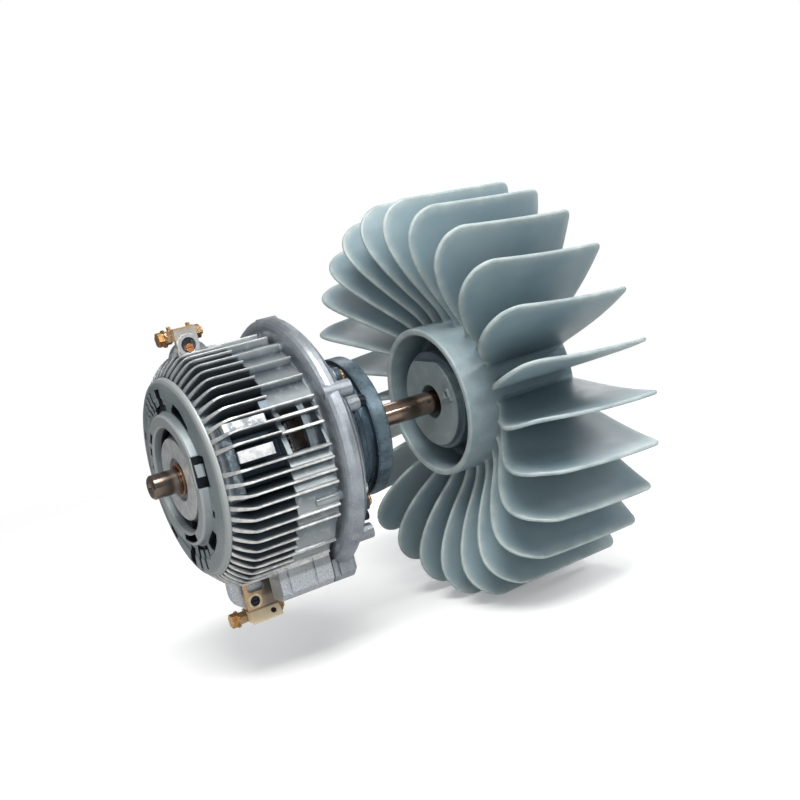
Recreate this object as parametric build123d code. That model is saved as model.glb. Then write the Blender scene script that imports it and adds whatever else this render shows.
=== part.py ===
from build123d import *
import math
import os

# Air purifier fan assembly: a small finned brush motor with a 14 mm shaft that
# carries a 25-blade moulded impeller.  Millimetres.
# Working frame: X along the shaft towards the impeller, Z up, x = 0 at the face
# of the vented front shield.  Everything is shifted at the end by -X_REF, so the
# origin of the part is on the shaft axis at the shoulder of the rear spigot.

# ---------------------------------------------------------------- dimensions
X_REF = 104.0          # spigot shoulder, measured from the front shield face

SHAFT_R = 7.0          # 14 mm shaft ends
STUB_LEN = 18.5        # front stub in front of the shield face
SHAFT_END = 216.0      # rear end of the shaft, inside the impeller

SHIELD_R = 58.0        # vented front shield
RING_RI, RING_RO = 30.6, 38.0
RING_X = -4.0          # face of the raised ring
CENTRE_R = 24.0        # central plateau
CENTRE_X = -1.8

FIN_COUNT = 60
FIN_PITCH = 360.0 / FIN_COUNT
FIN_PHASE = 2.0
FIN_R = 68.5
GAP_R = 57.0
STEP_X = 38.5          # the tall fins end here
BARREL_END = 63.9
BORE_R = 53.0          # front bore of the casing
REAR_BORE_R = 56.0     # brush chamber
RIB_R = 68.5
RIB_ANGLES = [92, 104, 116, 128, 140, 152, 158, 165, 176, 182, 188, 194, 206, 212,
              230, 242, 254, 266, 278, 290, 302, 314, 326, 338, 350, 2, 14, 26, 38,
              50, 62, 76]
WIN_A, WIN_B = 153.2, 175.0      # commutator window, degrees
WIN_X0, WIN_X1 = 41.5, 62.2

FLANGE_X0, FLANGE_X1 = 64.5, 76.0
FLANGE_FACE = 65.9     # the flange stands a little clear of the barrel's end
FLANGE_R = 76.0
DISH_T = 3.5

HOUSING_R = 43.0
SPIGOT_X0, SPIGOT_X1 = 104.0, 114.3
NECK_R = 39.5

FOOT_Y, FOOT_Z = 30.0, -80.0
FOOT_X0, FOOT_X1 = 31.0, 80.0

# ears on the casing (x, z, radius) and the sheet-metal brackets fixed to them
EAR_TOP = (22.0, 63.5, 11.5)
EAR_BOTTOM = (21.5, -72.5, 11.0)
EAR_Y = 3.0
BRK_Y = -6.5
SHEET = 1.5
TOP_X0, TOP_X1 = 14.5, 27.6
BOT_X0, BOT_X1 = 17.0, 35.6
TOP_BOLT_Z, BOT_BOLT_Z, BOLT_Y = 78.2, -88.0, 0.6

N_BLADES = 25
BLADE_PITCH = 360.0 / N_BLADES
BLADE_PHASE = 85.5
BLADE_T = 2.4
TIP_R_FRONT, TIP_R_REAR = 127.8, 126.0
HUB_RO, HUB_RI = 47.5, 43.2
HUB_X0, HUB_X1 = 166.0, 246.0
BOSS_R = 28.9
BOSS_X0, BOSS_X1 = 169.3, 204.0
FLAT_A, FLAT_R = 94.0, 25.8       # flat on the edge of the boss's face

MAGNET_RI, MAGNET_RO = 39.2, 45.4
YOKE_RO = 52.95
ARM_R = 38.4
COMM_R = 19.0
BALL_FIT = 0.10

os.makedirs("parts", exist_ok=True)
made = {}


# ------------------------------------------------------------------- helpers
def px(x, y=0.0, z=0.0):
    "plane across the shaft at x: local x is +Y, local y is +Z"
    return Plane(origin=(x, y, z), x_dir=(0, 1, 0), z_dir=(1, 0, 0))


def pol(r, a):
    return (r * math.cos(math.radians(a)), r * math.sin(math.radians(a)))


def rev(pts):
    "solid of revolution about the shaft from (x, r) points"
    f = make_face(Polyline(*[(p[0], p[1], 0) for p in pts], close=True))
    return revolve(f, Axis.X, 360)


def tube(x0, x1, ri, ro, y=0.0, z=0.0):
    s = px(x0, y, z) * Circle(ro)
    if ri > 0:
        s = s - px(x0, y, z) * Circle(ri)
    return extrude(s, x1 - x0, dir=(1, 0, 0))


def rod(x0, x1, r, y=0.0, z=0.0):
    return tube(x0, x1, 0, r, y, z)


def prism(x0, x1, pts):
    "polygon of (y, z) points run from x0 to x1"
    f = make_face(px(x0) * Polyline(*pts, close=True))
    return extrude(f, x1 - x0, dir=(1, 0, 0))


def arc_pts(r, a0, a1, n):
    return [pol(r, a0 + (a1 - a0) * i / n) for i in range(n + 1)]


def sector(x0, x1, r0, r1, a0, a1):
    n = max(2, int(abs(a1 - a0) / 3) + 1)
    return prism(x0, x1, arc_pts(r0, a0, a1, n) + arc_pts(r1, a1, a0, n))


def poly_polar(x0, x1, ra):
    return prism(x0, x1, [pol(r, a) for r, a in ra])


def slot_polar(x0, x1, r0, r1, a, w0, w1=None):
    "radial slot with straight sides"
    w1 = w0 if w1 is None else w1
    c, s = math.cos(math.radians(a)), math.sin(math.radians(a))
    pts = [(r0, -w0 / 2), (r1, -w1 / 2), (r1, w1 / 2), (r0, w0 / 2)]
    return prism(x0, x1, [(c * u - s * v, s * u + c * v) for u, v in pts])


def turn(shape, a):
    return shape.rotate(Axis.X, a)


def fuse(parts):
    parts = list(parts)
    out = parts[0]
    if len(parts) > 1:
        out = out + parts[1:]
    return out


def box(x0, x1, y0, y1, z0, z1):
    return Pos((x0 + x1) / 2, (y0 + y1) / 2, (z0 + z1) / 2) * Box(x1 - x0, y1 - y0, z1 - z0)


def hexagon(x0, x1, af, y=0.0, z=0.0, rot=0.0):
    r = af / math.sqrt(3)
    pts = [(y + r * math.cos(math.radians(60 * i + rot)), z + r * math.sin(math.radians(60 * i + rot)))
           for i in range(6)]
    return prism(x0, x1, pts)


def solids_of(s):
    return list(s.solids()) if hasattr(s, "solids") else [s]


def save(name, shapes):
    if not isinstance(shapes, (list, tuple)):
        shapes = [shapes]
    out = []
    for s in shapes:
        out += solids_of(s)
    moved = [Pos(-X_REF, 0, 0) * s for s in out]
    made[name] = moved
    comp = moved[0] if len(moved) == 1 else Compound(children=moved)
    export_step(comp, "parts/" + name + ".step")
    print(name, len(moved), "solids", round(sum(m.volume for m in moved) / 1000.0, 2), "cm3")


# ------------------------------------------------------------- motor casing
def fin_profile():
    pts = []
    for k in range(FIN_COUNT):
        a = FIN_PHASE + FIN_PITCH * k
        if abs(a - 170) < 0.5:                      # the second pad sits here
            pts += [pol(GAP_R, a - 2.6), pol(GAP_R, a + 2.6)]
            continue
        hb, ht = 1.35, 0.66
        c, s = math.cos(math.radians(a)), math.sin(math.radians(a))
        side = [(GAP_R, hb), (FIN_R - 0.95, ht), (FIN_R - 0.36, ht * 0.8), (FIN_R - 0.06, ht * 0.36)]
        for u, v in [(u, -v) for u, v in side] + side[::-1]:
            pts.append((c * u - s * v, s * u + c * v))
    return pts


env = rev([(3.4, 0), (3.4, 58.4), (4.4, 60.2), (6.3, 62.3), (8.6, 64.5), (10.9, 66.3), (13.2, 67.5),
           (15.8, 68.25), (18.4, FIN_R), (STEP_X, FIN_R), (STEP_X, 0)])
casing = prism(3.4, STEP_X, fin_profile()) & env

# rear barrel: shingled bays between the ribs that run on to the flange
rib_sorted = sorted(a % 360 for a in RIB_ANGLES)
pts = []
for i, a in enumerate(rib_sorted):
    b = rib_sorted[(i + 1) % len(rib_sorted)]
    if b <= a:
        b += 360
    hw = math.degrees(0.72 / RIB_R)
    pts += [pol(RIB_R - 0.7, a - hw), pol(RIB_R - 0.06, a - hw * 0.5), pol(RIB_R - 0.06, a + hw * 0.5),
            pol(RIB_R - 0.7, a + hw), pol(63.6, a + hw + 0.7)]
    n = max(1, int((b - a) / 4))
    for j in range(1, n):
        t = j / n
        pts.append(pol(63.6 + 2.9 * t, a + hw + 0.7 + (b - a - 2 * hw - 1.0) * t))
    pts.append(pol(66.6, b - hw - 0.3))
barrel = prism(STEP_X, BARREL_END, pts)
casing = casing + barrel

# pads and fillers beside the window
casing = casing + [sector(8.5, 33.0, 55, 67.4, 153.4, 157.4),
                   sector(11.5, 32.0, 55, 67.2, 167.2, 172.6),
                   sector(3.4, 12.0, 50, 70, 152.5, 190.0)
                   & rev([(3.4, 55), (3.4, 57.9), (4.6, 59.3), (7.4, 61.5), (10.2, 62.9), (12.0, 63.2), (12.0, 55)]),
                   sector(33.0, STEP_X, 55, 66.4, 147.0, 151.6)]

# foot block under the rear half, with three shallow grooves across its sides
foot = prism(FOOT_X0, BARREL_END, [(-FOOT_Y, -56), (-FOOT_Y, FOOT_Z + 4), (-FOOT_Y + 4, FOOT_Z),
                                   (FOOT_Y - 4, FOOT_Z), (FOOT_Y, FOOT_Z + 4), (FOOT_Y, -56)])
for gx in (36.2, 52.8):
    foot = foot - box(gx - 0.8, gx + 0.8, -FOOT_Y - 1, -FOOT_Y + 1.2, -90, -50)
    foot = foot - box(gx - 0.8, gx + 0.8, FOOT_Y - 1.2, FOOT_Y + 1, -90, -50)
casing = casing + foot

# the fins are relieved around the two ears, and the foot is notched for the lower bracket
for zc in (68.0, -68.0):
    casing = casing - box(12.6, 33.4, -8.3, 8.3, zc - 7.0, zc + 9.0)
casing = casing - box(24.0, 41.0, -14.0, 14.0, -90.0, -61.0)
# round-ended ears that carry the brackets, at top and bottom
for ex, ez, er in (EAR_TOP, EAR_BOTTOM):
    ear = extrude(Plane(origin=(ex, EAR_Y, ez), x_dir=(1, 0, 0), z_dir=(0, -1, 0)) * Circle(er), 2 * EAR_Y)
    zr = 56.0 if ez > 0 else -56.0
    casing = casing + [ear, box(ex - er, ex + er, -EAR_Y, EAR_Y, min(zr, ez), max(zr, ez))]

# bores
casing = casing - tube(-10, 40.5, 0, BORE_R) - tube(40.0, 80, 0, REAR_BORE_R)

# commutator window with a hoop strut and the bars that cross it
win = sector(WIN_X0, WIN_X1, 50, 72, WIN_A, WIN_B)
bars = [slot_polar(WIN_X0 - 1, WIN_X1 + 1, 61.5, RIB_R, a, 1.5) for a in (158.0, 165.0)]
bars.append(sector(53.6, 57.4, 59.5, 64.0, WIN_A - 1, WIN_B + 1))
casing = (casing - win) + bars

# screw bosses at the rear end, with blind holes for the shield screws
BOLT_R = 63.8
BOLT_A = (23, 113, 203, 293)
for a in BOLT_A:
    y, z = pol(BOLT_R, a)
    casing = casing + rod(50.0, BARREL_END, 3.2, y, z)
casing = casing - tube(40.0, 80, 0, REAR_BORE_R)
for a in BOLT_A:
    y, z = pol(BOLT_R, a)
    casing = casing - rod(52, 70, 2.0, y, z)


def pin_y(x, z, r, y0, y1):
    "round bar along Y"
    return extrude(Plane(origin=(x, y0, z), x_dir=(1, 0, 0), z_dir=(0, 1, 0)) * Circle(r), y1 - y0)


# tapped holes in the ears for the bracket screws
SCR_TOP = (21.8, 70.3)
SCR_BOT = (22.3, -79.3)
for sx, sz in (SCR_TOP, SCR_BOT):
    casing = casing - pin_y(sx, sz, 2.0, -EAR_Y - 1, EAR_Y + 1)
save("motor_casing", casing)

# -------------------------------------------------------- vented front shield
shield = rev([(1.0, 8.7), (1.0, 12.6), (CENTRE_X + 0.3, 12.6), (CENTRE_X, 12.9), (CENTRE_X, CENTRE_R - 0.6), (CENTRE_X + 0.6, CENTRE_R), (1.2, CENTRE_R + 0.4),
              (1.2, RING_RI - 0.4), (RING_X + 1.0, RING_RI), (RING_X, RING_RI + 0.9), (RING_X, RING_RO - 1.0),
              (RING_X + 1.0, RING_RO), (0.7, RING_RO + 0.8), (0.5, 46.2), (-0.1, 47.2), (0.0, 53.5),
              (0.35, 55.4), (1.2, 57.0), (2.4, 57.8), (3.3, SHIELD_R), (3.35, SHIELD_R), (3.35, 52.9),
              (9.0, 52.9), (9.0, 49.8), (4.2, 49.0), (4.2, 20.8), (14.6, 20.8), (14.6, 17.52), (3.0, 17.52),
              (3.0, 8.7)])
cuts = [poly_polar(-6, 8, [(52.2, 80.0), (52.2, 89.6), (42.2, 90.5), (42.2, 79.0)]),
        slot_polar(-6, 8, 42.5, 53.2, 69.8, 4.0, 3.2),
        slot_polar(-6, 8, 42.5, 53.2, 62.8, 3.4, 2.8),
        slot_polar(-6, 8, 43.0, 52.6, 56.0, 2.8, 2.2),
        slot_polar(-6, 8, 45.5, 51.5, 49.6, 1.8, 1.4),
        sector(-6, 2.6, 39.4, 43.0, 66.0, 94.0),
        poly_polar(-6, 8, [(48.0, 112.5), (46.4, 120.5), (42.8, 135.0), (39.3, 136.5), (39.3, 120.0), (39.6, 104.0), (42.0, 105.0)]),
        box(-6, 8, -43.2, -34.0, -2.4, 3.6),
        box(-6, 8, -43.2, -34.0, 10.4, 15.0),
        box(-6, 8, -43.2, -39.4, -2.4, 15.0),
        box(-6, -2.9, -43.2, -34.0, -2.4, 15.0),
        sector(-6, 8, 39.6, 43.0, 202.5, 209.0),
        poly_polar(-6, 8, [(39.4, 224.0), (44.6, 221.5), (47.2, 229.0), (47.6, 238.0), (43.5, 244.0), (39.4, 246.0)]),
        poly_polar(-6, 8, [(43.0, 281.4), (43.0, 290.5), (54.6, 292.0), (55.4, 287.5), (55.4, 283.0)]),
        slot_polar(-6, 8, 41.5, 54.5, 273.6, 4.2, 3.6),
        slot_polar(-6, 8, 40.0, 53.0, 262.8, 4.2, 3.4),
        slot_polar(-6, 8, 40.0, 48.0, 252.4, 3.4, 2.6),
        sector(-6, 2.6, 39.6, 42.0, 252.0, 276.0),
        poly_polar(-6, 8, [(49.6, 325.0), (49.6, 311.5), (55.2, 313.5), (55.2, 320.5)]),
        sector(-6, 8, 50.2, 52.8, 24.5, 30.5),
        sector(-6, 8, 31.9, 35.8, 22.0, 33.0),
        sector(-6, 8, 31.9, 35.8, 36.0, 52.0),
        sector(-6, 8, 32.6, 35.6, 8.0, 13.0),
        sector(-6, 8, 32.0, 36.2, 248.0, 284.0),
        sector(-6, 8, 25.4, 30.0, 30.0, 100.0),
        sector(-6, 8, 25.4, 30.0, 112.0, 132.0),
        sector(-6, 8, 25.4, 29.8, 200.0, 236.0),
        sector(-6, 8, 25.4, 30.2, 246.0, 280.0)]
for c in cuts:
    shield = shield - c
save("front_shield", shield)

save("front_bearing_cap", rev([(-0.2, 8.75), (-0.2, 11.9), (0.3, 12.55), (1.0, 12.55), (1.0, 8.75)]))
save("front_shaft_seal", rev([(-0.6, 7.06), (1.6, 7.06), (1.6, 8.65), (-0.6, 8.65)]))

# ----------------------------------------------------------- rear end shield
REG_X = 59.6      # nose of the register, where the brush ring seats
# a narrow groove shows between the barrel's end and the flange; its floor is at 62.5
outer = [(FLANGE_X0, 62.5), (FLANGE_FACE, 62.5), (FLANGE_FACE, 70.6), (66.4, 72.5), (67.5, 74.2), (69.3, 75.5), (71.4, FLANGE_R),
         (FLANGE_X1 - 1.6, FLANGE_R),
         (FLANGE_X1, 74.4), (FLANGE_X1, 71.6), (78.6, 71.0), (79.4, 69.6), (79.4, 67.8), (81.6, 65.6),
         (84.6, 61.0), (86.8, 55.0), (87.6, 49.5), (87.6, 33.9)]
inner = [(84.0, 33.9), (84.0, 48.4), (82.6, 53.4), (79.4, 57.4), (75.2, 60.4), (70.5, 60.4), (70.5, 52.6),
         (REG_X, 52.6), (REG_X, REAR_BORE_R - 0.02), (FLANGE_X0, REAR_BORE_R - 0.02)]
rear = rev(outer + inner)
LUG_R = 72.0
LUGS = (10.0, 82.0, 154.0, 226.0, 298.0)
for a in LUGS:
    y, z = pol(LUG_R, a)
    rear = rear + rod(FLANGE_FACE + (0.4 if a == 154.0 else 5.6), 83.4, 4.5, y, z)
BR_A = (158.0, 248.0, 338.0, 68.0)
BR_R = 53.5
for a in BR_A:
    y, z = pol(BR_R, a)
    rear = rear + rod(80.0, 93.5, 4.4, y, z)
    rear = rear - rod(50, 100, 2.15, y, z)
# rear part of the foot, with its own groove
rfoot = prism(FLANGE_X0, FOOT_X1, [(-FOOT_Y, -66), (-FOOT_Y, FOOT_Z + 4), (-FOOT_Y + 4, FOOT_Z),
                                   (FOOT_Y - 4, FOOT_Z), (FOOT_Y, FOOT_Z + 4), (FOOT_Y, -66)])
rfoot = rfoot - tube(60, 90, 0, 66.0)
edges = [e for e in rfoot.edges() if abs(e.center().X - FOOT_X1) < 0.01 and e.center().Z < -68]
try:
    rfoot = fillet(edges, 3.0)
except Exception:
    pass
for sg in (-1, 1):
    rfoot = rfoot - box(67.2, 68.6, sg * FOOT_Y - 1.2, sg * FOOT_Y + 1.2, -90, -50)
rear = rear + rfoot
for a in BOLT_A:                                # pads that bridge the groove at the bolts
    rear = rear + rod(BARREL_END, FLANGE_FACE + 1.0, 3.2, *pol(BOLT_R, a))
for a in BOLT_A:                                # spot faces and clearance holes
    y, z = pol(BOLT_R, a)
    rear = rear - rod(78.0, 92.0, 5.0, y, z)
    rear = rear - rod(60, 90, 2.3, y, z)
for a in LUGS:                                  # M4 tapped holes in the lug ends
    y, z = pol(LUG_R, a)
    rear = rear - rod(71.4, 90.0, 1.65, y, z)
HS_A = (137.0, 227.0, 317.0, 47.0)
HS_R = 52.0
for a in HS_A:
    y, z = pol(HS_R, a)
    rear = rear + rod(82.0, 87.6, 5.8, y, z)
    rear = rear - rod(78, 95, 1.7, y, z)
save("rear_end_shield", rear)

# ----------------------------------------------------------- bearing housing
hs = rev([(87.7, 33.8), (87.7, 48.6), (88.4, 49.4), (91.0, 49.4), (91.4, 48.0), (92.2, 47.6), (92.2, 46.4), (95.6, 46.0),
          (96.4, 45.0), (97.0, NECK_R), (103.2, NECK_R), (SPIGOT_X0, NECK_R + 0.8), (SPIGOT_X0, HOUSING_R),
          (SPIGOT_X1 - 1.0, HOUSING_R), (SPIGOT_X1, HOUSING_R - 1.0), (SPIGOT_X1, 9.6), (112.0, 9.6),
          (112.0, 20.02), (99.4, 20.02), (99.4, 11.0), (96.6, 11.0), (96.6, 24.5), (92.0, 28.5),
          (86.0, 30.5), (84.2, 31.0), (84.2, 33.8)])
for a in HS_A:
    y, z = pol(HS_R, a)
    ear = extrude(px(87.7, y, z) * Circle(5.6), 3.7, dir=(1, 0, 0))
    hs = hs + ear
    hs = hs + prism(87.7, 91.4, [pol(46, a - 6.5), pol(52, a - 6.0), pol(52, a + 6.0), pol(46, a + 6.5)])
for a in BR_A:
    y, z = pol(BR_R, a)
    hs = hs - rod(87, 96, 4.7, y, z)
for a in HS_A:
    y, z = pol(HS_R, a)
    hs = hs - rod(80, 100, 2.2, y, z)
hs = hs - rod(96, 99.6, 2.5, *pol(32, 90))
save("bearing_housing", hs)
save("rear_shaft_seal", tube(112.4, 114.8, 7.06, 9.55))
save("wave_washer", tube(98.6 + 0.85, 99.4 + 0.75, 16.2, 19.6))

# ------------------------------------------------------------------ fixings
def socket_screw(x_head, y, z, d, length, hd, hh, af):
    s = rod(x_head - length, x_head, d / 2, y, z) + rod(x_head, x_head + hh, hd / 2, y, z)
    return s - hexagon(x_head + hh * 0.45, x_head + hh + 1, af, y, z)


def pan_screw(x_head, y, z, d, length, hd, hh):
    head = rod(x_head, x_head + hh, hd / 2, y, z)
    top = [e for e in head.edges() if abs(e.center().X - (x_head + hh)) < 1e-3]
    head = fillet(top, hh * 0.45)
    s = rod(x_head - length, x_head, d / 2, y, z) + head
    cross = (box(x_head + hh * 0.45, x_head + hh + 1, y - hd * 0.28, y + hd * 0.28, z - 0.5, z + 0.5)
             + box(x_head + hh * 0.45, x_head + hh + 1, y - 0.5, y + 0.5, z - hd * 0.28, z + hd * 0.28))
    return s - cross


save("shield_screws", [pan_screw(78.9, *pol(BOLT_R, a), 3.9, 22.0, 8.6, 3.4) for a in BOLT_A])
save("shield_screw_washers", [tube(78.0, 78.9, 2.05, 4.6, *pol(BOLT_R, a)) for a in BOLT_A])
save("brush_ring_screws", [socket_screw(93.5, *pol(BR_R, a), 3.9, 34.0, 7.0, 4.2, 3.2) for a in BR_A])
save("housing_screws", [pan_screw(91.4, *pol(HS_R, a), 3.3, 9.0, 7.4, 2.8) for a in HS_A])

# ------------------------------------------------------------------- brackets
def ybox_cut(x, z, w, h):
    "slot along X through the web"
    pl = Plane(origin=(x, -20, z), x_dir=(1, 0, 0), z_dir=(0, 1, 0))
    return extrude(pl * SlotOverall(w, h), 40)


def cheeks(x0, x1, z_a, z_b, z_c):
    "two side cheeks: shallow beside the ear, full depth beyond its end"
    out = []
    for c0, c1 in ((x0, x0 + SHEET), (x1 - SHEET, x1)):
        out.append(box(c0, c1, BRK_Y, -EAR_Y - 0.15, min(z_a, z_c), max(z_a, z_c)))
        out.append(box(c0, c1, BRK_Y, 4.6, min(z_b, z_c), max(z_b, z_c)))
    return out


# upper bracket: web, cheeks, a lip folded back along its top edge, two corner prongs
top = box(TOP_X0, TOP_X1, BRK_Y, BRK_Y + SHEET, 62.0, 82.0) + cheeks(TOP_X0, TOP_X1, 69.2, 75.6, 82.0)
top = top + [box(TOP_X0, TOP_X1, BRK_Y, -1.6, 81.0, 82.5),
             box(TOP_X0, TOP_X0 + SHEET, 1.6, 4.6, 81.0, 84.2), box(TOP_X1 - SHEET, TOP_X1, 1.6, 4.6, 81.0, 84.2)]
TOP_HOLE = (21.0, 72.1)
top = top - pin_y(*TOP_HOLE, 4.95, -20, -4.0) - rod(0, 50, 2.3, BOLT_Y, TOP_BOLT_Z)
save("top_bracket", top)

# lower bracket: slot near the casing, eyelet hole, tab kicked out at its lower edge
bot = box(BOT_X0, BOT_X1, BRK_Y, BRK_Y + SHEET, -85.5, -62.0) + cheeks(BOT_X0, BOT_X1, -74.5, -84.1, -91.0)
tab = make_face(Plane(origin=(BOT_X0, 0, 0), x_dir=(0, 1, 0), z_dir=(1, 0, 0)) *
                Polyline((-5.0, -84.0), (-6.5, -84.0), (-11.3, -90.4), (-10.1, -91.5), (-5.0, -85.3), close=True))
tab = extrude(tab, BOT_X1 - BOT_X0, dir=(1, 0, 0))
bot = bot + tab
bot = bot - ybox_cut(24.6, -71.8, 10.6, 4.8) - pin_y(*SCR_BOT, 3.5, -20, -4.0) - rod(0, 50, 2.3, BOLT_Y, BOT_BOLT_Z)
# screw through the tab, square to it
tn = Vector(0, 0.8, -0.6)
tc = Vector(31.0, -9.05, -87.4)


def tab_rod(r, d0, d1):
    pl = Plane(origin=tc + tn * d0, x_dir=(1, 0, 0), z_dir=tn)
    return extrude(pl * Circle(r), d1 - d0)


bot = bot - tab_rod(1.7, -4, 4)
save("bottom_bracket", bot)
tab_scr = tab_rod(1.5, -0.4, 6.0)
tab_hex = extrude(Plane(origin=tc + tn * 2.0, x_dir=(1, 0, 0), z_dir=tn) * RegularPolygon(2.6, 6), 2.2)
save("tab_screw", tab_scr + tab_hex)

# eyelets pressed into the webs; each seats on its ear and takes the screw head
top_eye = pin_y(*TOP_HOLE, 6.5, BRK_Y - 0.8, BRK_Y) + pin_y(*TOP_HOLE, 4.9, BRK_Y - 0.8, -EAR_Y)
top_eye = top_eye - pin_y(*TOP_HOLE, 4.4, -20, -EAR_Y - 0.9) - pin_y(*SCR_TOP, 2.05, -20, 0)
bot_eye = pin_y(*SCR_BOT, 4.4, BRK_Y - 0.6, BRK_Y) + pin_y(*SCR_BOT, 3.45, BRK_Y - 0.6, -EAR_Y)
bot_eye = bot_eye - pin_y(*SCR_BOT, 3.0, -20, -EAR_Y - 0.9) - pin_y(*SCR_BOT, 2.05, -20, 0)
save("bracket_eyelets", [top_eye, bot_eye])
scr = []
for sx, sz, hr in ((*SCR_TOP, 2.35), (*SCR_BOT, 2.7)):
    s = pin_y(sx, sz, 1.95, -EAR_Y - 0.9, 2.6) + pin_y(sx, sz, hr, -EAR_Y - 2.9, -EAR_Y - 0.9)
    scr.append(s - box(sx - 4, sx + 4, -EAR_Y - 4, -EAR_Y - 2.1, sz - 0.4, sz + 0.4))
save("bracket_screws", scr)

bolts, nuts, washers = [], [], []
for z, h0, n1, c0, c1 in ((TOP_BOLT_Z, 6.4, 11.2, TOP_X0, TOP_X1), (BOT_BOLT_Z, 7.6, 12.6, BOT_X0, BOT_X1)):
    hx = h0 + 3.6
    wx = hx + 1.0
    bolts.append(hexagon(h0, hx, 7.4, BOLT_Y, z, 14) + rod(hx, c1 + 5.6, 2.2, BOLT_Y, z))
    washers.append(tube(hx, wx, 2.25, 5.0, BOLT_Y, z))
    nuts.append(hexagon(wx + 0.05, c0 - 0.05, 6.8, BOLT_Y, z, 40) - rod(0, 50, 2.22, BOLT_Y, z))
    washers.append(tube(c1, c1 + 0.8, 2.25, 4.4, BOLT_Y, z))
    nuts.append(hexagon(c1 + 0.8, c1 + 4.2, 7.2, BOLT_Y, z, 14) - rod(0, 50, 2.22, BOLT_Y, z))
save("bracket_bolts", bolts)
save("bracket_nuts", nuts)
save("bracket_washers", washers)

# ------------------------------------------------------ inside the motor: fixed
save("field_yoke", tube(10.2, 39.8, MAGNET_RO + 0.05, YOKE_RO))
save("field_magnets", [sector(12.0, 38.0, MAGNET_RI, MAGNET_RO, a - 37, a + 37) for a in (75, 165, 255, 345)])
ring = tube(55.5, REG_X, 31.0, REAR_BORE_R - 0.1)
for a in BR_A:
    ring = ring - rod(50, 70, 1.97, *pol(BR_R, a))
BRUSH_A = (75, 165, 255, 345)
holders, brushes, springs, hscr = [], [], [], []
for a in BRUSH_A:
    h = box(47.5, 55.4, -4.4, 4.4, 22.0, 38.0) - box(48.7, 54.3, -3.2, 3.2, 10, 50)
    h = h + box(53.9, 55.4, -9.0, 9.0, 33.0, 38.0)
    h = h - box(48.7, 54.3, -3.2, 3.2, 10, 50)
    holders.append(turn(h, a - 90))
    b = box(48.9, 54.1, -3.0, 3.0, 10.0, 35.0) - tube(40, 60, 0, COMM_R + 0.06)
    brushes.append(turn(b, a - 90))
    # rolled constant-force spring resting on the brush
    sp = tube(49.7, 53.3, 1.9, 2.8, 0.0, 37.85) + box(49.7, 53.3, 2.1, 2.8, 37.85, 42.4)
    springs.append(turn(sp, a - 90))
    for sy in (-7.2, 7.2):
        s = rod(52.4, 53.9, 1.9, sy, 35.6) + rod(53.9, 58.5, 1.1, sy, 35.6)
        hscr.append(turn(s, a - 90))
for i, a in enumerate(BRUSH_A):
    for sy in (-7.2, 7.2):
        y, z = sy, 35.6
        c, s = math.cos(math.radians(a - 90)), math.sin(math.radians(a - 90))
        yy, zz = c * y - s * z, s * y + c * z
        holders[i] = holders[i] - rod(50, 60, 1.1, yy, zz)
        ring = ring - rod(50, 58.5, 1.1, yy, zz)
save("brush_ring", ring)
save("brush_holders", holders)
save("carbon_brushes", brushes)
save("brush_springs", springs)
save("brush_holder_screws", hscr)


# ----------------------------------------------------------------- bearings
def bearing(tag, x0, width, r_in, r_out, n, ball_r):
    xc = x0 + width / 2
    pr = (r_in + r_out) / 2
    t = (r_out - r_in) * 0.27
    groove = ball_r + BALL_FIT
    f = (Plane.XY.offset(0) * Pos(xc, pr) * Circle(groove))
    torus = revolve(f, Axis.X, 360)
    save(tag + "_outer_race", tube(x0, x0 + width, r_out - t, r_out - 0.0) - torus)
    save(tag + "_inner_race", tube(x0, x0 + width, r_in, r_in + t) - torus)
    balls = [Pos(xc, *pol(pr, 360.0 * i / n)) * Sphere(ball_r) for i in range(n)]
    save(tag + "_balls", balls)
    cage = tube(xc - ball_r - 1.0, xc + ball_r + 1.0, pr - 0.8, pr + 0.8)
    for i in range(n):
        cage = cage - Pos(xc, *pol(pr, 360.0 * i / n)) * Sphere(ball_r + 0.1)
    save(tag + "_cage", cage)


bearing("front_bearing", 3.2, 11.0, 7.5, 17.5, 8, 2.95)
bearing("rear_bearing", 100.2, 11.7, 8.5, 20.0, 8, 3.45)

# --------------------------------------------------------------------- rotor
RING_G0, RING_G1 = -2.0, -1.0     # groove of the bronze snap ring
sh = rev([(-STUB_LEN, 0), (-STUB_LEN, SHAFT_R - 1.1), (-STUB_LEN + 1.1, SHAFT_R), (RING_G0, SHAFT_R),
          (RING_G0, 6.6), (RING_G1, 6.6), (RING_G1, SHAFT_R), (2.7, SHAFT_R), (2.7, 7.5),
          (14.5, 7.5), (14.5, 9.0), (62.0, 9.0), (62.0, 8.5), (111.9, 8.5), (111.9, SHAFT_R),
          (SHAFT_END - 1, SHAFT_R), (SHAFT_END, SHAFT_R - 1), (SHAFT_END, 0)])
sh = sh - rev([(-STUB_LEN - 1, 0), (-STUB_LEN - 1, 3.4), (-STUB_LEN + 2.6, 0.9), (-STUB_LEN + 5.0, 0.9), (-STUB_LEN + 5.4, 0)])
sh = sh - rev([(SHAFT_END + 1, 0), (SHAFT_END + 1, 2.5), (SHAFT_END - 16, 2.5), (SHAFT_END - 17.4, 0)])
KEY_A = 118.0
key_slot = turn(box(176.0, 200.0, -2.5, 2.5, SHAFT_R - 3.0, SHAFT_R + 3), KEY_A - 90)
sh = sh - key_slot
save("shaft", sh)
save("front_snap_ring", tube(RING_G0 + 0.05, RING_G1 - 0.05, 6.62, 9.3))

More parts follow.
